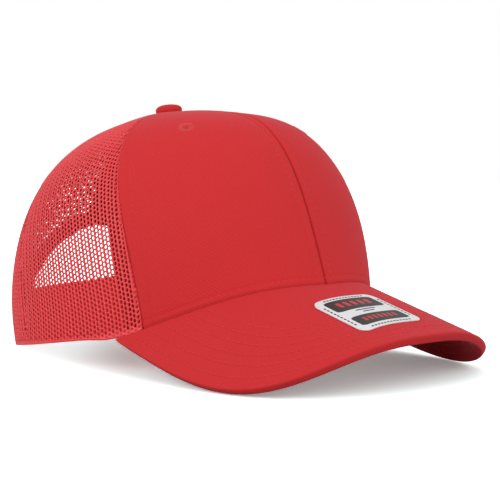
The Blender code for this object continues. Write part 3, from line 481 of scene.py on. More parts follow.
# ---------------------------------------------------------------- meshes
def build(name, points, quads, material, uv=None, angle=None):
    """A smooth mesh object from crown points; edges over the angle in degrees stay sharp."""
    name = name + "_look" if name in nodes else name
    mesh = bpy.data.meshes.new(name)
    corners = quads.ravel().astype(np.int32)
    points = np.asarray(world(points), np.float32)
    mesh.vertices.add(len(points))
    mesh.vertices.foreach_set("co", points.ravel())
    mesh.loops.add(len(corners))
    mesh.loops.foreach_set("vertex_index", corners)
    mesh.polygons.add(len(quads))
    mesh.polygons.foreach_set("loop_start", np.arange(len(quads), dtype=np.int32) * 4)
    mesh.update(calc_edges=True)
    layer = mesh.uv_layers.new(name="cloth")
    if uv is None:
        x, y, z = points.T
        uv = np.stack([x * 1000 + y * 300, z * 1000 + y * 400], 1)
    layer.data.foreach_set("uv", np.asarray(uv, np.float32)[corners].ravel())
    mesh.validate()
    mesh.shade_smooth()
    if angle:
        mesh.set_sharp_from_angle(angle=math.radians(angle))
    mesh.materials.append(material)
    obj = bpy.data.objects.new(name, mesh)
    bpy.context.scene.collection.objects.link(obj)
    return obj


def placed(obj, replaced=None):
    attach(obj, "crown")
    if replaced:
        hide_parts(replaced)


def grid_faces(rows, cols):
    i, j = np.meshgrid(np.arange(rows - 1), np.arange(cols - 1), indexing="ij")
    a = (i * cols + j).ravel()
    return np.stack([a, a + 1, a + cols + 1, a + cols], 1)


def ring_faces(rows, cols):
    """Faces of a grid whose columns close into rings."""
    i, j = np.meshgrid(np.arange(rows - 1), np.arange(cols), indexing="ij")
    a = (i * cols + j).ravel()
    b = (i * cols + (j + 1) % cols).ravel()
    return np.stack([a, b, b + cols, a + cols], 1)


def slab(outer, inner, faces, outward):
    """A closed slab: outer sheet, reversed inner sheet, walls on free edges."""
    corner, want = outer[faces], outward[faces[:, 0]]
    normal = np.cross(corner[:, 1] - corner[:, 0], corner[:, 2] - corner[:, 0])
    if (normal * want).sum() < 0:
        faces = faces[:, ::-1]
    count = len(outer)
    a = faces.ravel()
    b = np.roll(faces, -1, axis=1).ravel()
    edges, reverse = a.astype(np.int64) * count + b, b.astype(np.int64) * count + a
    free = ~np.isin(reverse, edges)
    walls = np.stack([b[free], a[free], a[free] + count, b[free] + count], 1)
    return np.concatenate([outer, inner]), np.concatenate([faces, faces[:, ::-1] + count, walls])


def cloth(name, turn, rise, outer_depth, inner_depth, material, uv=None, faces=None):
    """A cloth piece over a grid of (turn, rise)."""
    outer = at_depth(turn, rise, outer_depth).reshape(-1, 3)
    inner = at_depth(turn, rise, inner_depth).reshape(-1, 3)
    if faces is None:
        faces = grid_faces(*turn.shape)
    points, faces = slab(outer, inner, faces, normal_at(turn, rise).reshape(-1, 3))
    if uv is None:
        x = x_of(np.abs(turn), rise) * np.sign(turn)
        uv = np.stack([x.ravel(), rise.ravel()], 1)
    return build(name, points, faces, material, np.concatenate([uv, uv]), angle=60)


# ---------------------------------------------------------------- stitches
# Half outline of one thread: place along its length, share of its radius.
THREAD_PROFILE = np.array([
    (-0.5, 0.0), (-0.46, 0.55), (-0.3, 0.95), (0.0, 1.0), (0.3, 0.95), (0.46, 0.55), (0.5, 0.0),
])
THREAD_SIDES = 7


def capsules(centres, directions, ups, length, radius):
    """Many short rounded threads as one mesh, their ends dipping into the cloth."""
    angle = 2 * np.pi * np.arange(THREAD_SIDES) / THREAD_SIDES
    side = unit(np.cross(directions, ups))
    ups = np.cross(side, directions)
    cos, sin = np.cos(angle)[None, :, None], np.sin(angle)[None, :, None]
    radial = side[:, None] * cos + ups[:, None] * sin
    place, share = THREAD_PROFILE.T
    dips = (place * 2) ** 2 * radius * 0.9
    points = (
        centres[:, None, None]
        + directions[:, None, None] * (place * length)[None, :, None, None]
        - ups[:, None, None] * dips[None, :, None, None]
        + radial[:, None] * (share * radius)[None, :, None, None]
    )
    base = ring_faces(len(place), THREAD_SIDES)
    starts = np.arange(len(centres)) * len(place) * THREAD_SIDES
    return points.reshape(-1, 3), (base[None] + starts[:, None, None]).reshape(-1, 4)


def stitch(name, rows, material=THREAD, length=2.5, pitch=3.1, radius=0.2):
    """Rows of stitches; each row is (points, normals), the normals pointing off the cloth."""
    centres, directions, ups = [], [], []
    for points, normals in rows:
        run = run_along(points)
        if run[-1] < pitch:
            continue

        def pick(distance, table):
            return np.stack([np.interp(distance, run, table[:, k]) for k in range(3)], 1)

        at = np.arange(pitch / 2, run[-1] - pitch / 2, pitch)
        start, end = pick(at - length / 2, points), pick(at + length / 2, points)
        normal = pick(at, normals)
        centres.append((start + end) / 2 + normal * STITCH_LIFT)
        directions.append(unit(end - start))
        ups.append(unit(normal))
    lists = (np.concatenate(part) for part in (centres, directions, ups))
    placed(build(name, *capsules(*lists, length, radius), material))


def crown_row(turn, rise, depth, facing=1):
    """A stitch row on the crown, facing out (1) or in (-1)."""
    return at_depth(turn, rise, depth), normal_at(turn, rise) * facing


# ---------------------------------------------------------------- front panels
def panel_relief(to_centre, to_side, rise):
    """Depth of the cloth's face: rolled at seams and hem, puffed beside them, grooved."""
    depth = 0.95 * bell(to_centre, 0.62) + 0.95 * bell(to_side, 0.62)
    depth = depth + 0.45 * bell(np.maximum(rise - 0.1, 0), 0.5)
    depth = depth - 0.24 * bell(to_centre - 2.6, 1.7) - 0.24 * bell(to_side - 2.8, 1.9)
    rows = bell(to_centre - STITCH_CENTRE, 0.5) + bell(to_side - STITCH_SIDE, 0.5)
    return depth + GROOVE * (rows + bell(rise - STITCH_HEM, 0.5))


EYELET_CENTRE = crown(EYELET_TURN, EYELET_CLIMB)


def front_layer(name, sign, turn, rise, x, depth, thick, material):
    """One layer of a front panel, with the eyelet's hole left out."""
    to_eyelet = np.linalg.norm(point_at(turn, rise) - EYELET_CENTRE, axis=-1)
    gone = to_eyelet < EYELET_CUT
    faces = grid_faces(*turn.shape)
    faces = faces[~gone.ravel()[faces].all(1)]
    uv = np.stack([sign * x.ravel(), rise.ravel()], 1)
    obj = cloth(name, sign * turn, rise, depth, depth + thick, material, uv, faces)
    placed(obj, name)


def front_panel(side, sign):
    across = np.linspace(0, 1, 124)
    across = 0.45 * across + 0.55 * (0.5 - 0.5 * np.cos(np.pi * across))
    up = np.linspace(0, 1, 190)[:, None]
    up = 0.8 * up + 0.2 * smoothstep(up)
    low, high = -skirt(across)[None], top_rise(across)[None]
    rise = low + (high - low) * up
    width = x_of(1.0, rise)
    x = 0.12 + (width - 0.24) * across[None]
    turn = turn_of(x, rise)
    # Slow waves of the cloth over its stiffener.
    waves = 0.10 * np.sin(x / 13.0 + 1.3 * sign) * np.sin(rise / 17.0 + 0.6)
    depth = panel_relief(x, width[:, :1] - x, rise) + waves - 0.10
    front_layer("front_panel_" + side, sign, turn, rise, x, depth, 1.1, TWILL)
    # The stiffener is a coarser grid that stops short of the top and the hem.
    turn, rise, x = (part[:168:3, ::3] for part in (turn, rise, x))
    front_layer("front_buckram_" + side, sign, turn, np.maximum(rise, -2.5), x,
                np.full(turn.shape, 1.5), 0.7, BUCKRAM)


for side, sign in SIDES:
    front_panel(side, sign)


# ---------------------------------------------------------------- knit net panels
def opening_level(points):
    """Below 0 inside the back opening, above 0 outside."""
    z = np.maximum(points[..., 2], 0)
    sideways = (np.abs(points[..., 1]) / OPENING_HALF) ** OPENING_POWER
    return sideways + (z / OPENING_HEIGHT) ** OPENING_POWER - 1


_turns = np.linspace(2.3, 2.9, 301)
FOOT_TURN = float(np.interp(0, -opening_level(point_at(_turns, FOOT_RISE)), _turns))
# One knit cell: its outline on the half-pitch grid, and where each point meets the hole.
CELL_X = np.array([-1, 0, 1, 1, 1, 1, 1, 0, -1, -1, -1, -1])
CELL_Y = np.array([-2, -2, -2, -1, 0, 1, 2, 2, 2, 1, 0, -1])
HOLE_ANGLES = np.radians([-131, -90, -49, -24, 0, 24, 49, 90, 131, 156, 180, 204])


def tube(path, radius, up, sides=8):
    """An open-ended round cord along a path of points."""
    forward = unit(np.gradient(path, axis=0))
    side = unit(np.cross(forward, up))
    up = np.cross(side, forward)
    angle = 2 * np.pi * np.arange(sides) / sides
    cos, sin = np.cos(angle)[None, :, None], np.sin(angle)[None, :, None]
    points = path[:, None] + (side[:, None] * cos + up[:, None] * sin) * radius[:, None, None]
    return points.reshape(-1, 3), ring_faces(len(path), sides)


def net(name, sign, seam_a, seam_b):
    """One net panel between two seams: a slab with a hole in every knit cell."""
    back = seam_b > 2.5
    # Sideways places are measured from this line.
    datum_turn = (seam_a + seam_b) / 2 if back else seam_a

    def column(x, y):
        """Sideways place of a column; at the sides columns lean toward the front seam."""
        if back:
            return x
        wide = 1.85 * x / COLUMN_PITCH
        wide = wide + 0.36 * 45 / COLUMN_PITCH * (np.clip(x, 0, 90) / 45) ** 2 / 2
        far = np.maximum(x - 62, 0)
        wide = wide - 0.36 / COLUMN_PITCH * far**2 / 45 / 2
        return wide - 0.055 * y - 10 * (np.maximum(y - 78, 0) / 32) ** 1.7

    def edges(rise):
        """Sideways place of the datum line, then of both seams from it."""
        datum = x_of(datum_turn, rise)
        return datum, x_of(seam_a, rise) - datum, x_of(seam_b, rise) - datum

    # Cell centres that fall between the seams.
    heights = np.arange(0, 180.0)
    _, edge_a, edge_b = edges(heights)
    first = int(edge_a.min() / COLUMN_PITCH) - 1
    last = int(edge_b.max() / COLUMN_PITCH) + (2 if back else 34)
    courses = np.arange(-3, int(NET_TOP / COURSE_PITCH))
    ks, js = np.meshgrid(np.arange(first, last), courses, indexing="ij")
    ks, js = ks.ravel(), js.ravel()
    xc, yc = ks * COLUMN_PITCH, (js + (ks % 2) / 2) * COURSE_PITCH
    at = column(xc, yc)
    from_a, to_b = at - np.interp(yc, heights, edge_a), np.interp(yc, heights, edge_b) - at
    gap = np.minimum(from_a, to_b)
    near = gap > -COLUMN_PITCH * 1.3
    ks, js, xc, yc, gap = (part[near] for part in (ks, js, xc, yc, gap))

    # Outline points, shared between neighbouring cells.
    cell_x = 2 * ks[:, None] + CELL_X[None]
    cell_y = 4 * js[:, None] + 2 * (ks % 2)[:, None] + CELL_Y[None]
    code = (cell_x + 1000).astype(np.int64) * 100000 + (cell_y + 1000)
    keys, index = np.unique(code, return_inverse=True)
    index = index.reshape(code.shape)
    grid_x, grid_y = keys // 100000 - 1000, keys % 100000 - 1000
    odd = grid_x % 2 != 0
    narrow = odd & ((grid_x - 1) // 2 % 2 == 0)
    x = grid_x * COLUMN_PITCH / 2 + np.where(narrow, 0.34 * np.cos(np.pi * grid_y / 2), 0.0)
    y = grid_y * COURSE_PITCH / 4
    height = np.where(odd, np.where(narrow, -0.20, 0.17), 0.06)

    # Hole points. Cross threads step up on one side, as the laid-in yarn does.
    toward = np.where(ks % 2 == 0, 1, -1)[:, None]
    open_ = np.clip((np.minimum(gap, yc) - 0.5) / 1.3, 0.06, 1)[:, None]
    cos, sin = np.cos(HOLE_ANGLES)[None], np.sin(HOLE_ANGLES)[None]
    hole_x = xc[:, None] + (HOLE_X * cos + 0.10 * toward) * open_
    hole_y = yc[:, None] + (HOLE_Y * sin + 0.12 * cos * toward) * open_
    hole = len(x) + np.arange(hole_x.size).reshape(hole_x.shape)
    x = np.concatenate([x, hole_x.ravel()])
    y = np.concatenate([y, hole_y.ravel()])
    height = np.concatenate([height, (0.0 * hole_x - 0.34 * open_ - 0.02).ravel()])
    x = column(x, y)
    quads = np.stack([index, np.roll(index, -1, 1), np.roll(hole, -1, 1), hole], -1)
    quads = quads.reshape(-1, 4)

    # Keep inside the seams, the rim and the top.
    datum, edge_a, edge_b = edges(np.clip(y, 0, NET_TOP))
    low, high = edge_a + SEAM_GAP, edge_b - SEAM_GAP
    beyond_x = np.where(x < low, -1, np.where(x > high, 1, 0))
    x = np.clip(x, low, np.maximum(high, low))
    turn = turn_of(x + datum, np.clip(y, 0, NET_TOP))
    low, high = -skirt(turn), top_rise(turn)
    beyond_y = np.where(y < low, -1, np.where(y > high, 1, 0))
    y = np.clip(y, low, high)
    gone = np.zeros(len(quads), bool)
    for beyond in (beyond_x, beyond_y):
        flag = beyond[quads]
        gone |= ((flag != 0) & (flag == flag[:, :1])).all(1)
    if back:
        level = opening_level(point_at(turn, np.maximum(y, 0)))
        inside = (level < 0.02) & (turn > FOOT_TURN - 0.02)
        inside |= (turn > FOOT_TURN - 0.01) & (y < FOOT_RISE)
        gone |= inside[quads].any(1)
    used, quads = np.unique(quads[~gone], return_inverse=True)
    quads = quads.reshape(-1, 4)
    x, y, turn, height = x[used], y[used], turn[used], height[used]

    # Rolled down at the seams, the knit's relief fading there and at the rim.
    _, edge_a, edge_b = edges(np.clip(y, 0, NET_TOP))
    from_a, to_b = x - edge_a, edge_b - x
    roll = 0.95 * bell(from_a, 0.8) + 0.95 * bell(to_b, 0.8)
    flat = np.clip(np.minimum(from_a, to_b) / 1.2, 0.25, 1) * np.clip((y + 1.0) / 2.0, 0.3, 1)
    depth = 0.22 - height * flat + roll
    turn = sign * turn
    inner_depth = np.maximum(depth + 0.35, 0.86 + roll * 0.8)
    points, faces = slab(at_depth(turn, y, depth), at_depth(turn, y, inner_depth), quads,
                         normal_at(turn, y))
    uv = np.stack([sign * x, y], 1)

    # The folded edge along the rim, tapering at its ends.
    end = FOOT_TURN if back else seam_b
    fold = np.linspace(max(seam_a, VISOR_TURN + 0.02) + 0.01, end - 0.01, 60)
    path = at_depth(sign * fold, 0.62 - skirt(fold), 0.62)
    to_end = np.minimum(np.arange(60), np.arange(60)[::-1])
    radius = 0.55 * np.clip(to_end / 2 + 0.4, 0, 1)
    cord, cord_faces = tube(path, radius, normal_at(sign * fold, 3.0))
    cord_uv = np.stack([cord[:, 1] + cord[:, 0], cord[:, 2]], 1)
    faces = np.concatenate([faces, cord_faces + len(points)])
    obj = build(name, np.concatenate([points, cord]), faces, NET, np.concatenate([uv, uv, cord_uv]))
    placed(obj, name)


for side, sign in SIDES:
    net("side_mesh_" + side, sign, 1.0, 2.0)
    net("back_mesh_" + side, sign, 2.0, 3.0)


# ---------------------------------------------------------------- tapes inside the seams
def tape(name, seam, depth, low):
    """A tape up the inside of a seam from a low rise, with its two stitch rows."""
    up = np.linspace(0, 1, 90)[:, None]
    across = np.linspace(-1, 1, 21)[None]
    line = low + (float(top_rise(abs(seam), TAPE_TOP_RADIUS)) - low) * up
    before, after = max(abs(seam) - 0.02, 0.0), min(abs(seam) + 0.02, 3.0)
    rate = (x_of(after, line) - x_of(before, line)) / (after - before)
    reach = np.minimum(TAPE_HALF / np.maximum(rate, 1e-3), 0.43)

    def lay(share, reach, up):
        """Turns and rises at a share of the half width, wrapped past the back centre."""
        turn = seam + reach * share
        turn = np.where(turn > 3, turn - 6, turn)
        return turn, low + (top_rise(turn, TAPE_TOP_RADIUS) - low) * up

    turn, rise = lay(across, reach, up)
    # Rounded edges, and a slight fold down the middle over the seam.
    outer = depth + (0.16 * np.abs(across) ** 8 - 0.10 * bell(across, 0.25))
    inner = depth + TAPE_THICK - 0.10 * np.abs(across) ** 8
    uv = np.stack(np.broadcast_arrays(across * TAPE_HALF, rise), -1).reshape(-1, 2)
    placed(cloth(name, turn, rise, outer, inner, TAPE, uv), name)
    rows = []
    keep = reach[:, 0] < 0.42
    for share in (-0.72, 0.72):
        turn, rise = lay(share, reach[:, 0], up[:, 0])
        rows.append(crown_row(turn[keep], rise[keep], depth + TAPE_THICK + 0.02, facing=-1))
    stitch(name + "_stitches", rows, length=2.3, pitch=2.9, radius=0.17)


def opening_rise(turns):
    """Rise of the back opening's edge at each turn."""
    rises = []
    for turn in np.atleast_1d(turns):
        rise = np.linspace(0, 180, 1801)
        level = opening_level(point_at(turn, rise))
        high = rise >= FOOT_RISE
        rises.append(max(FOOT_RISE, float(np.interp(0, level[high], rise[high]))))
    return np.array(rises)


FRONT_TAPE_DEPTH, NET_TAPE_DEPTH = 2.9, 1.9
tape("front_centre_tape", 0.0, FRONT_TAPE_DEPTH, 1.0 - float(skirt(0.0)))
for side, sign in SIDES:
    tape("front_seam_tape_" + side, sign * 1.0, FRONT_TAPE_DEPTH, 1.0 - float(skirt(1.0)))
    tape("side_seam_tape_" + side, sign * 2.0, NET_TAPE_DEPTH, 1.0)
tape("back_centre_tape", 3.0, NET_TAPE_DEPTH, float(opening_rise(3.0)[0]) + BINDING_WIDTH + 1.5)

# ---------------------------------------------------------------- binding of the back opening
# The opening's left edge: straight up the foot, then over the arch to the back centre.
_fine = FOOT_TURN + (3 - FOOT_TURN) * np.linspace(0, 1, 260) ** 2
_run = run_along(point_at(_fine, opening_rise(_fine)))
arch_turns = np.interp(np.linspace(0, _run[-1], 58), _run, _fine)
foot_rises = np.linspace(0.4, FOOT_RISE, 14)[:-1]
EDGE_TURNS = np.concatenate([np.full(len(foot_rises), FOOT_TURN), arch_turns])
EDGE_RISES = np.concatenate([foot_rises, opening_rise(arch_turns)])


def away_from_opening():
    """Unit directions along the surface, square to the opening's edge."""
    edge = point_at(EDGE_TURNS, EDGE_RISES)
    tangent = np.gradient(edge, axis=0)
    for _ in range(6):
        tangent[1:-1] = (tangent[:-2] + 2 * tangent[1:-1] + tangent[2:]) / 4
    tangent[-1] = (0, tangent[-1][1], 0)
    away = unit(np.cross(unit(tangent), normal_at(EDGE_TURNS, EDGE_RISES)))
    middle = np.array([edge[-1][0], 0, OPENING_HEIGHT * 0.3])
    away *= np.sign(((edge - middle) * away).sum(1))[:, None]
    away[0] = away[0] * (1, 1, 0)
    away[-1] = away[-1] * (1, 0, 1)
    return unit(away)


AWAY = away_from_opening()


def walk(distance, steps=6):
    """The edge moved a distance away from the opening along the surface."""
    turn, rise = EDGE_TURNS.copy(), EDGE_RISES.copy()
    for _ in range(steps):
        after = np.minimum(turn + 0.01, 3)
        per_turn = point_at(after, rise) - point_at(turn - 0.01, rise)
        per_turn = per_turn / (after - turn + 0.01)[:, None]
        per_rise = point_at(turn, rise + 1.0) - point_at(turn, np.maximum(rise - 1.0, 0))
        per_rise = per_rise / (1.0 + np.minimum(rise, 1.0))[:, None]
        # Solve the 2 x 2 system of the surface's two directions.
        turn_turn, rise_rise = (per_turn * per_turn).sum(-1), (per_rise * per_rise).sum(-1)
        cross = (per_turn * per_rise).sum(-1)
        away_turn, away_rise = (per_turn * AWAY).sum(-1), (per_rise * AWAY).sum(-1)
        det = turn_turn * rise_rise - cross * cross
        turn = turn + (rise_rise * away_turn - cross * away_rise) / det * distance / steps
        step = (turn_turn * away_rise - cross * away_turn) / det * distance / steps
        rise = np.maximum(rise + step, 0.0)
    rise = np.where(np.arange(len(rise)) == 0, 0.4, rise)
    return np.minimum(turn, 3.0), rise


def binding_normal(turn, rise):
    return normal_at(np.minimum(turn, 2.995), rise)


def binding_point(width, depth, overhang=0.0):
    turn, rise = walk(width) if width > 0 else (EDGE_TURNS, EDGE_RISES)
    return point_at(turn, rise) - binding_normal(turn, rise) * depth - AWAY * overhang


# Closed outline: distance from the edge, depth, reach into the opening.
BINDING_SECTION = (
    (0, -0.80, 0.45), (0.6, -0.93), (2.0, -0.97), (4.4, -0.97), (5.4, -0.86),
    (BINDING_STITCH, -0.80), (6.4, -0.86), (7.4, -0.93), (7.9, -0.80), (BINDING_WIDTH, -0.45),
    (7.6, -0.3), (4.0, -0.3), (0.4, -0.3), (0.1, 0.2), (0.1, 1.3), (0.4, 1.65), (4.0, 1.65),
    (7.6, 1.65), (BINDING_WIDTH, 1.85), (7.9, 2.15), (7.0, 2.25), (BINDING_STITCH, 2.12),
    (4.4, 2.25), (1.5, 2.25), (0.4, 2.2), (0, 2.05, 0.5), (0, 1.5, 0.72), (0, 0.6, 0.78),
    (0, -0.3, 0.72),
)


def both_halves(half, flip=(1, -1, 1)):
    """The left half followed by its mirror, sharing the back centre."""
    return np.concatenate([half, half[:-1][::-1] * flip])


def arch_binding():
    section = np.stack([binding_point(*row) for row in BINDING_SECTION], 1)
    section[-1, :, 1] = 0.0
    section = both_halves(section)
    stations, ring = section.shape[:2]
    faces = ring_faces(stations, ring)
    uv = np.meshgrid(run_along(section[:, 0]), run_along(section[30]), indexing="ij")
    uv = np.stack(uv, -1).reshape(-1, 2)
    points = section.reshape(-1, 3)
    corner = points[faces[40 * ring]]
    normal = np.cross(corner[1] - corner[0], corner[2] - corner[0])
    if np.dot(normal, corner.mean(0) - section[40].mean(0)) < 0:
        faces = faces[:, ::-1]
    k = np.arange(12)
    end = np.stack([k, k + 1, ring - 2 - k, ring - 1 - k], 1)
    faces = np.concatenate([faces, end, end[:, ::-1] + (stations - 1) * ring])
    placed(build("arch_binding", points, faces, BINDING, uv, angle=70), "arch_binding")
    rows = []
    turn, rise = walk(BINDING_STITCH)
    for depth, facing in ((-0.80, 1), (2.12, -1)):
        normal = binding_normal(turn, rise)
        half = point_at(turn, rise) - normal * (depth - 0.02 * facing)
        rows.append((both_halves(half), both_halves(normal * facing)))
    stitch("arch_binding_stitches", rows, length=2.4, pitch=3.0, radius=0.18)


arch_binding()


# ---------------------------------------------------------------- sweatband, foam, label
def band_depth(turn, front, back):
    """A depth that eases from its front to its back value behind the visor."""
    return front + (back - front) * smoothstep((np.abs(turn) - 1.15) / 0.45)


def band_rise(turn, share):
    return -skirt(turn) + BAND_LOW + (BAND_HEIGHT + skirt(turn) - BAND_LOW) * share


BAND_ROWS = (0.085, 0.915)  # stitch rows, as shares of the band's height
BAND_FACE = (6.3, 3.8)  # depth of the head side at front and back


def sweatband():
    _turns = np.linspace(1.5, 3, 1501)
    end = float(np.interp(float(arc_of(FOOT_TURN)) - BAND_SHORT, arc_of(_turns), _turns))
    share = np.array([
        0, 0.01, 0.03, 0.06, 0.085, 0.11, 0.15, 0.25, 0.35, 0.45,
        0.55, 0.65, 0.75, 0.85, 0.89, 0.915, 0.94, 0.97, 0.99, 1.0,
    ])[:, None]
    turn = np.linspace(-end, end, 260)[None]
    rise = band_rise(turn, share)
    turn = turn + 0 * rise
    low, high = BAND_ROWS
    puff = 0.14 * np.sin(np.pi * np.clip((share - low) / 0.83, 0, 1))
    puff = puff - 0.12 * bell(share - low, 0.02) - 0.12 * bell(share - high, 0.02)
    ends = np.clip(1 - share / 0.03, 0, 1) ** 2 + np.clip(1 - (1 - share) / 0.03, 0, 1) ** 2
    round_edge = 0.36 * ends
    pucker = 0.05 * np.sin(x_of(np.abs(turn), 0.0) / 2.9)
    outer = band_depth(turn, 5.4, 2.9) + round_edge
    inner = band_depth(turn, *BAND_FACE) + puff * 0.6 - round_edge + pucker * 0.6
    placed(cloth("sweatband", turn, rise, outer, inner, BAND), "sweatband")
    line = np.linspace(-end + 0.02, end - 0.02, 400)
    depth = band_depth(line, *BAND_FACE) - 0.05
    rows = [crown_row(line, band_rise(line, k), depth, facing=-1) for k in BAND_ROWS]
    stitch("sweatband_stitches", rows, radius=0.18)


def sweatband_foam():
    rises = 2.0 + 24.0 * np.linspace(0, 1, 26)
    turn, rise = np.meshgrid(np.linspace(-1.12, 1.12, 120), rises)
    foam = cloth("sweatband_foam", turn, rise, 3.9, 4.9, FOAM)
    placed(foam, "sweatband_foam")


def care_label():
    up = np.linspace(0, 1, 34)
    turn, rise = np.meshgrid(np.linspace(2.06, 2.26, 24), 4.0 + 30.0 * up)
    lift = (-0.05 + 0.05 * np.sin(5 * up))[:, None]
    label = cloth("care_label", turn, rise, 4.12 + lift * 0.2, 4.55 + lift, LABEL)
    placed(label, "care_label")
    row = crown_row(np.linspace(2.07, 2.25, 30), 5.6, 4.58, facing=-1)
    stitch("care_label_stitches", [row], THREAD_WHITE, length=1.5, pitch=1.9, radius=0.14)


sweatband()
sweatband_foam()
care_label()


# ---------------------------------------------------------------- visor
def visor_outline(count):
    """Left half of the outline in plan (forward, left), from the join to the tip."""
    join = np.array([JOIN_FORWARD, JOIN_LEFT])
    angle = math.radians(VISOR_RUN_ANGLE)
    run = join + VISOR_RUN * np.array([math.cos(angle), math.sin(angle)])
    wide, tip = np.array([VISOR_TIP, VISOR_SPREAD]), np.array([VISOR_TIP, 0])
    x = np.linspace(0, 1, count)[:, None]
    start = (1 - x) ** 3 * join + 3 * (1 - x) ** 2 * x * run
    return start + 3 * (1 - x) * x**2 * wide + x**3 * tip


OUTLINE = visor_outline(900)
OUTLINE_RUN = run_along(OUTLINE)
WHOLE_OUTLINE = np.concatenate([OUTLINE[::3] * (1, -1), OUTLINE[::-3]])


def outer_edge(across):
    """Outline points; across is -1 at the right join, 0 at the tip, 1 at the left join."""
    at = (1 - np.abs(across)) * OUTLINE_RUN[-1]
    forward, left = (np.interp(at, OUTLINE_RUN, part) for part in OUTLINE.T)
    return np.stack([forward, np.where(across < 0, -left, left)], -1)


def inner_edge(across, clear=0.3):
    """Points a little outside the crown's rim."""
    turn = across * VISOR_TURN
    ahead, behind = np.stack(rim(turn + 0.01), -1), np.stack(rim(turn - 0.01), -1)
    tangent = unit(ahead - behind)
    return np.stack(rim(turn), -1) + np.stack([tangent[..., 1], -tangent[..., 0]], -1) * clear


def visor_normal(plan):
    left = plan[..., 1]
    slope = CAMBER * CAMBER_POWER * np.abs(left) ** (CAMBER_POWER - 1) * np.sign(left)
    return unit(np.stack([np.full_like(left, VISOR_SLOPE), slope, np.ones_like(left)], -1))


def visor_point(plan, depth, fraction=1.0):
    """Points under the top face: straight down at the crown, square to the face farther out."""
    square = np.clip(fraction / 0.5, 0, 1)[..., None]
    off = unit(visor_normal(plan) * square + np.array([0, 0, 1.0]) * (1 - square))
    face = np.stack([plan[..., 0], plan[..., 1], visor_z(plan[..., 0], plan[..., 1])], -1)
    return face - off * np.asarray(depth)[..., None]


def inset(plan, chunk=4000):
    """Distance in plan to the visor's outline, in chunks to spare memory."""
    flat = plan.reshape(-1, 2)
    out = np.empty(len(flat))
    for k in range(0, len(flat), chunk):
        away = flat[k : k + chunk, None] - WHOLE_OUTLINE[None]
        out[k : k + chunk] = np.sqrt((away**2).sum(-1).min(1))
    return out.reshape(plan.shape[:-1])


def visor_covers():
    across = np.linspace(-1, 1, 421)
    across = 0.975 * np.sign(across) * (1 - (1 - np.abs(across)) ** 1.1)
    inner, outer = inner_edge(across), outer_edge(across)
    span = np.linalg.norm(outer - inner, axis=-1)
    # Even rows from the crown outward, then close rows round the outer edge.
    radius = VISOR_EDGE_RADIUS
    main = np.linspace(0, 1, 92)[:-1, None]
    edge_rows = np.array([1.0, 0.75, 0.52, 0.34, 0.2, 0.1, 0.04, 0.008, 0.0])[:, None]
    low = np.maximum(1 - radius / span, 0.3)
    fraction = np.concatenate([low * main, low + (1 - low) * (1 - edge_rows / radius)])
    no_edge = 9.0
    to_edge = np.concatenate([np.full_like(main, no_edge), edge_rows])
    plan = inner[None] + (outer - inner)[None] * fraction[..., None]
    # Toward its two ends the visor thins to almost nothing where it meets the rim.
    thin = smoothstep(np.maximum(span / 7.0, 0.12))[None]
    half = VISOR_THICK / 2 * thin
    turned_in = (np.clip(radius - to_edge, 0, radius) / radius) ** 3.2
    turned_in = np.clip(1 - turned_in, 0, 1) ** (1 / 3.2)
    at_edge = to_edge < no_edge
    curl = np.where(at_edge, np.minimum(half * (1 - turned_in), half - 0.03 * thin), 0.0)
    # Grooves under the stitch rows, with the cloth quilted between them.
    away = inset(plan)
    grooves = sum(bell(away - row, 0.42) for row in VISOR_ROW_INSETS) * 0.17
    quilt = 0.05 * np.cos(2 * np.pi * (away - 6.0) / 4.1)
    quilt = quilt * np.clip((27 - away) / 3, 0, 1) * np.clip((away - 3.5) / 2, 0, 1)
    relief = (grooves - quilt) * np.clip(span / 8.0, 0, 1)[None] * thin
    top = curl + relief
    bottom = 2 * half - curl - relief * 0.8
    skin = np.maximum(np.where(at_edge, curl + 0.1, 0), VISOR_SKIN * thin)
    skin = np.minimum(skin, half - 0.01)
    uv = np.stack([plan[..., 1].ravel(), plan[..., 0].ravel() * 1.08], 1)
    outward = visor_normal(plan).reshape(-1, 3)
    for name, face_depth, back_depth, facing in (
        ("visor_top_cover", top, np.maximum(skin, top + 0.02), 1),
        ("visor_bottom_cover", bottom, np.minimum(2 * half - skin, bottom - 0.02), -1),
    ):
        face = visor_point(plan, face_depth, fraction).reshape(-1, 3)
        back = visor_point(plan, back_depth, fraction).reshape(-1, 3)
        points, faces = slab(face, back, grid_faces(*plan.shape[:2]), outward * facing)
        obj = build(name, points, faces, TWILL_VISOR, np.concatenate([uv, uv]), angle=60)
        placed(obj, name)


def visor_stitches(name, depth, facing):
    """Rows of stitching parallel to the outline, kept in front of the rim."""
    outline = np.concatenate([OUTLINE[::4] * (1, -1), OUTLINE[::-4][1:]])
    tangent = unit(np.gradient(outline, axis=0))
    inward = np.stack([-tangent[:, 1], tangent[:, 0]], 1)
    rim_forward, rim_left = rim(np.linspace(-VISOR_TURN, VISOR_TURN, 241))
    rows = []
    for row in VISOR_ROW_INSETS:
        line = outline + inward * row
        keep = inset(line) > row - 0.08
        keep &= line[:, 0] > np.interp(line[:, 1], rim_left, rim_forward) + 1.2
        keep &= np.abs(line[:, 1]) < JOIN_LEFT
        line = line[keep]
        rows.append((visor_point(line, depth), visor_normal(line) * facing))
    stitch(name, rows, pitch=3.05, radius=0.22)


visor_covers()
visor_stitches("visor_stitches_top", 0.10, 1)
visor_stitches("visor_stitches_bottom", VISOR_THICK - 0.10, -1)


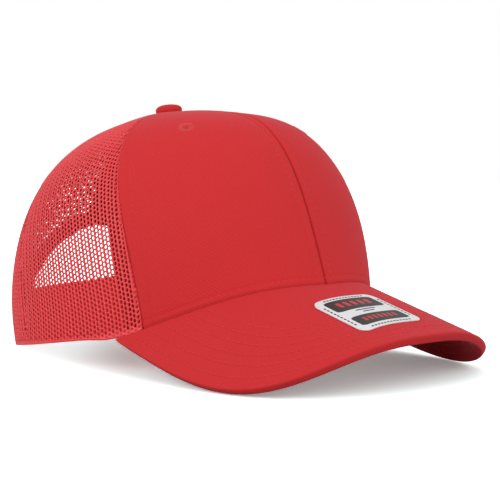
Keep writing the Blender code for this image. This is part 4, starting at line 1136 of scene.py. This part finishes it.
# ---------------------------------------------------------------- topstitching of the crown
def front_stitches():
    """Rows beside the front's seams, and one along its hem."""
    rows = []
    rise = np.linspace(STITCH_HEM + 1.0, 166, 300)
    width = x_of(1.0, rise)
    for _, sign in SIDES:
        for gap, x in ((STITCH_CENTRE, STITCH_CENTRE), (STITCH_SIDE, width - STITCH_SIDE)):
            turn = turn_of(x, rise)
            keep = (rise < top_rise(turn, STITCH_TOP_RADIUS)) & (width > 2.6 * gap)
            rows.append(crown_row(sign * turn[keep], rise[keep], GROOVE))
    rows.append(crown_row(np.linspace(-0.985, 0.985, 360), STITCH_HEM, GROOVE))
    stitch("front_panel_stitches", rows, radius=0.24)


def net_stitches():
    """Rows on the net beside its seams, and one along its rim."""
    rows = []
    rise = np.linspace(3, 166, 300)
    for _, sign in SIDES:
        for seam, gap in ((1.0, 1.6), (2.0, -1.6), (2.0, 1.6)):
            turn = turn_of(x_of(seam, rise) + gap, rise)
            keep = rise < top_rise(turn, STITCH_TOP_RADIUS)
            rows.append(crown_row(sign * turn[keep], rise[keep], 0.32))
        turn = np.linspace(VISOR_TURN + 0.03, FOOT_TURN - 0.06, 200)
        rows.append(crown_row(sign * turn, 2.6, 0.05))
    stitch("mesh_panel_stitches", rows, radius=0.17)


front_stitches()
net_stitches()


# ---------------------------------------------------------------- button and eyelets
def cross_axes(axis):
    side = unit(np.cross(axis, (0.3, 1, 0.1)))
    return side, np.cross(axis, side)


def turned(name, profile, segments, origin, axis, material, bend=None):
    """A closed profile of (radius, height) turned round an axis, then bent if asked."""
    axis = unit(np.asarray(axis, float))
    side, other = cross_axes(axis)
    angle = 2 * np.pi * np.arange(segments) / segments
    radius, height = (part[:, None] * np.ones(segments) for part in np.asarray(profile, float).T)
    if bend is not None:
        radius, height = bend(radius, height, angle[None])
    around = side * np.cos(angle)[:, None] + other * np.sin(angle)[:, None]
    points = np.asarray(origin) + axis * height[..., None] + around[None] * radius[..., None]
    points = points.reshape(-1, 3)
    k = np.arange(segments)
    after = (k + 1) % segments
    last = (len(profile) - 1) * segments
    seam = np.stack([k + last, after + last, after, k], 1)
    faces = np.concatenate([ring_faces(len(profile), segments), seam])
    a, b, c = (points[faces[:, n]] for n in range(3))
    if np.einsum("ij,ij->i", a - points.mean(0), np.cross(b - a, c - a)).sum() < 0:
        faces = faces[:, ::-1]
    x, y = np.cos(angle)[None] * radius, np.sin(angle)[None] * radius + height
    uv = np.stack([x.ravel(), y.ravel()], 1)
    return build(name, points, faces, material, uv, angle=70)


def gathers(radius, height, angle):
    """Folds of the cloth pulled over the button, on its upper side."""
    out = np.clip(radius / BUTTON_RADIUS, 0, 1)
    fold = 0.16 * np.cos(6 * angle) ** 30 * np.clip(out * 3, 0, 1)
    swell = 0.05 * np.sin(3 * angle + 1) * out**2
    upper = height > 2.4
    ripple = 1 + 0.006 * np.sin(22 * angle) * out**4
    return radius * ripple, height - fold * upper + swell * upper


def top_button():
    angles = np.linspace(0, np.pi / 2, 22)[-2::-1]
    dome = BUTTON_HEIGHT - BUTTON_WALL
    profile = [(0.02, BUTTON_LIFT + BUTTON_HEIGHT)]
    profile += [(BUTTON_RADIUS * np.cos(a) ** 0.72,
                 BUTTON_LIFT + BUTTON_WALL + dome * np.sin(a) ** 0.9) for a in angles]
    # Underside: distance in from the rim, height.
    under = ((0.06, 1.9), (0.25, 1.3), (0.6, 0.85), (1.2, 0.6), (2.2, 0.52))
    profile += [(BUTTON_RADIUS - into, height) for into, height in under]
    profile += [(1.9, BUTTON_LIFT), (1.9, 3.0), (0.02, 3.0)]
    apex = (APEX_FORWARD, 0.0, CROWN_HEIGHT)
    button = turned("top_button", profile, 96, apex, (0, 0, 1), TWILL_BUTTON, gathers)
    placed(button, "top_button")


def eyelet(side, sign):
    """A sunken ring with threads laid across it all round."""
    centre = EYELET_CENTRE * (1, sign, 1)
    meridian = MERIDIAN_RUNS[FRONT_COLUMN + int(round(EYELET_TURN / TURN_STEP))]
    rise = float(np.interp(EYELET_CLIMB, CLIMBS, meridian))
    axis = normal_at(sign * EYELET_TURN, rise)
    rim_radius = EYELET_RADIUS
    profile = [
        (0.75, -1.5), (rim_radius - 0.3, -1.5), (rim_radius - 0.2, -0.5), (rim_radius, -0.16),
        (rim_radius - 0.3, 0.0), (rim_radius - 1.0, 0.08), (2.4, 0.06), (1.5, -0.06), (0.8, -0.45),
    ]
    ring = turned("eyelet_" + side, profile, 60, centre, axis, THREAD)
    placed(ring, "eyelet_" + side)
    first, second = cross_axes(axis)
    k = np.arange(EYELET_THREADS)
    angle = 2 * np.pi * k / EYELET_THREADS
    out = first * np.cos(angle)[:, None] + second * np.sin(angle)[:, None]
    middle = (EYELET_RADIUS + EYELET_INNER) / 2 + 0.12 * (-1.0) ** k
    points, faces = capsules(centre + out * middle[:, None] + axis * 0.02, out,
                             np.tile(axis, (EYELET_THREADS, 1)),
                             length=EYELET_RADIUS - EYELET_INNER, radius=0.24)
    placed(build("eyelet_threads_" + side, points, faces, THREAD))


top_button()
for side, sign in SIDES:
    eyelet(side, sign)


# ---------------------------------------------------------------- foil sticker on the visor
def plate(name, ahead, aside, length, width, radius, material, lift, thick, steps=14):
    """A thin rounded plate on the visor's top, placed from the sticker's centre."""
    x, y = np.meshgrid(np.linspace(-1, 1, steps), np.linspace(-1, 1, steps), indexing="ij")
    x, y = x * length / 2, y * width / 2
    # Grid points past the corner centres are drawn in, to round the corners.
    flat_x, flat_y = length / 2 - radius, width / 2 - radius
    over_x, over_y = np.abs(x) - flat_x, np.abs(y) - flat_y
    corner = (over_x > 0) & (over_y > 0)
    shrink = np.maximum(over_x, over_y) / np.maximum(np.hypot(over_x, over_y), 1e-9)
    x = np.where(corner, np.sign(x) * (flat_x + over_x * shrink), x)
    y = np.where(corner, np.sign(y) * (flat_y + over_y * shrink), y)
    plan = np.stack([STICKER_FORWARD + ahead + x, STICKER_LEFT + aside + y], -1)
    outer = visor_point(plan, -(lift + thick)).reshape(-1, 3)
    inner = visor_point(plan, -lift).reshape(-1, 3)
    outward = visor_normal(plan).reshape(-1, 3)
    points, faces = slab(outer, inner, grid_faces(steps, steps), outward)
    uv = np.stack([plan[..., 1].ravel(), plan[..., 0].ravel()], 1)
    return build(name, points, faces, material, np.concatenate([uv, uv]), angle=40)


PRINT_LIFT = 0.47
base = plate("visor_sticker", 0, 0, STICKER_LENGTH, STICKER_WIDTH, 4.2, FOIL, 0.16, 0.3, steps=34)
placed(base, "visor_sticker")
# Name, ahead, aside, length, width, corner radius, ink, lift, thickness.
PATCHES = [
    ("sticker_bar_back", -7.4, 0.0, 9.8, 29.0, 1.6, INK, PRINT_LIFT, 0.05),
    ("sticker_bar_front", 7.4, 0.0, 8.0, 29.0, 1.6, INK, PRINT_LIFT, 0.05),
]
PATCHES += [(f"sticker_mark_back_{i}", -7.6, -8.6 + 4.3 * i, 4.4, 2.5, 1.0, INK_RED, 0.53, 0.04)
            for i in range(5)]
PATCHES += [(f"sticker_mark_front_{i}", 7.2, -9.0 + 3.0 * i, 3.4, 1.7, 0.7, INK_RED, 0.53, 0.04)
            for i in range(7)]
PATCHES += [(f"sticker_line_{i}", -0.9 + 1.9 * i, 0.0, 0.7, 12.0 - 5 * i, 0.3, INK_LINE,
             PRINT_LIFT, 0.04) for i in range(2)]
for patch in PATCHES:
    placed(plate(*patch))


def sticker_dashes():
    """A thin printed line of dashes round the sticker's edge, joined into one object."""
    dashes = []
    for y in np.arange(-11.5, 12, 1.9):
        dashes += [(-13.7, y, 0.8, 1.3), (13.5, y, 0.8, 1.3)]
    for x in np.arange(-8.5, 9, 1.9):
        dashes += [(x, -16.7, 1.3, 0.8), (x, 16.7, 1.3, 0.8)]
    objs = [plate(f"dash_{i}", *dash, 0.15, INK_LINE, PRINT_LIFT, 0.035, steps=4)
            for i, dash in enumerate(dashes)]
    bpy.ops.object.select_all(action="DESELECT")
    for obj in objs:
        obj.select_set(True)
    bpy.context.view_layer.objects.active = objs[0]
    bpy.ops.object.join()
    objs[0].name = "sticker_dashes"
    placed(objs[0])


sticker_dashes()

# ---------------------------------------------------------------- pieces kept from the frame
for name, material, slot, bevel_width in (
    ("hole_strap", PLASTIC, "snap_plastic", 0.28),
    ("peg_strap", PLASTIC, "snap_plastic", 0.28),
    ("button_rivet", METAL, "rivet", 0.2),
    ("visor_board", BOARD, "board", 0.2),
):
    node = nodes[name]
    node.data.materials.clear()
    node.data.materials.append(material)
    bevel = node.modifiers.new("soft_edges", "BEVEL")
    bevel.width = bevel_width * MM
    bevel.segments = 3
    bevel.limit_method = "ANGLE"
    bevel.angle_limit = math.radians(42)
    bevel.harden_normals = True

# ---------------------------------------------------------------- floor, light and camera
# The view, aimed at a point over the rim's centre, from the front and the wearer's right.
AZIMUTH, ELEVATION, RIM_TILT = (math.radians(a) for a in (38.302, 2.162, 7.655))
VIEW_DISTANCE, VIEW_TARGET = 652.426, (0.0, 0.0, 60.0)
LENS, SHIFT_X, SHIFT_Y = 90.019728, 0.141456, -0.074974
FLOOR_SIZE = 12.0
scene = bpy.context.scene


def untilt(d):
    """A direction turned from level into the tilted rim's frame."""
    cos, sin = math.cos(RIM_TILT), math.sin(RIM_TILT)
    return np.array([d[0] * cos + d[2] * sin, d[1], -d[0] * sin + d[2] * cos])


level_back = np.array([
    math.cos(AZIMUTH) * math.cos(ELEVATION),
    -math.sin(AZIMUTH) * math.cos(ELEVATION),
    math.sin(ELEVATION),
])
level_right = np.array([math.sin(AZIMUTH), math.cos(AZIMUTH), 0.0])
view_axes = [untilt(d) for d in (level_right, np.cross(level_back, level_right), level_back)]
eye = world(np.array(VIEW_TARGET) + view_axes[2] * VIEW_DISTANCE)
view_right, view_up, view_back = (unit(world(a) - world(np.zeros(3))) for a in view_axes)


def add_floor():
    """A white floor with painted light: it glows more toward the camera's left to keep the shadow
    light there.
    """
    bpy.ops.mesh.primitive_plane_add(size=FLOOR_SIZE, location=(0, 0, 0))
    floor = bpy.context.object
    floor.name = "floor"
    m = Nodes("floor_white")
    seen = m.add("ShaderNodeLightPath").outputs["Is Camera Ray"]
    # Painted light and shade: the camera sees the floor over-white and less red, which lightens the
    # cap's shadow and takes out its red bounce. Light bounced onto the cap comes from a dark grey
    # floor, a painted shade that keeps the visor's underside dark.
    m.finish(m.mix(seen, (0.46, 0.46, 0.46), (1.52, 1.66, 1.66)), 0.9, specular=0.0)
    place = m.add("ShaderNodeNewGeometry").outputs["Position"]
    dot = m.add("ShaderNodeVectorMath", operation="DOT_PRODUCT")
    m.feed(dot, {0: place})
    dot.inputs[1].default_value = tuple(view_right)
    start = float(np.dot(eye, view_right))
    ramp = m.add("ShaderNodeMapRange", interpolation_type="SMOOTHSTEP")
    m.feed(ramp, {
        "Value": dot.outputs["Value"], "From Min": start - 0.020, "From Max": start - 0.072,
        "To Min": 0.20, "To Max": 0.76,
    })
    glow = m.math("MULTIPLY", seen, ramp.outputs["Result"])
    # Painted light: the glow is tinted cyan to take out the red the cap bounces onto its shadow.
    m.feed(m.shader, {"Emission Color": (0.78, 1, 1), "Emission Strength": glow})
    floor.data.materials.append(m.mat)


def add_world():
    """White surroundings, dimmer as light than as seen by the camera."""
    studio = bpy.data.worlds.new("studio")
    scene.world = studio
    studio.use_nodes = True
    tree = studio.node_tree
    background = tree.nodes["Background"]
    path = tree.nodes.new("ShaderNodeLightPath")
    mix = tree.nodes.new("ShaderNodeMix")
    mix.data_type = "FLOAT"
    mix.inputs[2].default_value = 0.62
    mix.inputs[3].default_value = 1.0
    tree.links.new(path.outputs["Is Camera Ray"], mix.inputs[0])
    tree.links.new(mix.outputs[0], background.inputs["Strength"])
    background.inputs["Color"].default_value = (1, 1, 1, 1)


def add_camera():
    data = bpy.data.cameras.new("camera")
    data.sensor_width = 36
    data.lens = LENS
    data.shift_x, data.shift_y = SHIFT_X, SHIFT_Y
    data.clip_start, data.clip_end = 0.01, 50
    camera = bpy.data.objects.new("camera", data)
    scene.collection.objects.link(camera)
    columns = np.stack([view_right, view_up, view_back, eye], 1)
    camera.matrix_world = Matrix([*columns.tolist(), [0, 0, 0, 1]])
    scene.camera = camera


def sun(name, offset, angle, power):
    """A broad soft light from the camera's right, straight up and toward the camera."""
    data = bpy.data.lights.new(name, "SUN")
    data.angle = math.radians(angle)
    data.energy = power
    obj = bpy.data.objects.new(name, data)
    scene.collection.objects.link(obj)
    right, up, back = offset
    ray = Vector(view_right) * right + Vector((0, 0, 1)) * up + Vector(view_back) * back
    obj.location = Vector((0, 0, 0.06)) + ray.normalized() * 2
    obj.rotation_mode = "QUATERNION"
    obj.rotation_quaternion = ray.to_track_quat("Z", "Y")


add_floor()
add_world()
add_camera()
sun("key_light", (-1.05, 0.5, 0.95), angle=45, power=1.3)
sun("right_light", (0.95, 0.32, 0.62), angle=60, power=0.95)
sun("top_light", (0.1, 1.0, 0.1), angle=70, power=0.15)
scene.view_settings.view_transform = "Standard"
scene.view_settings.look = "None"
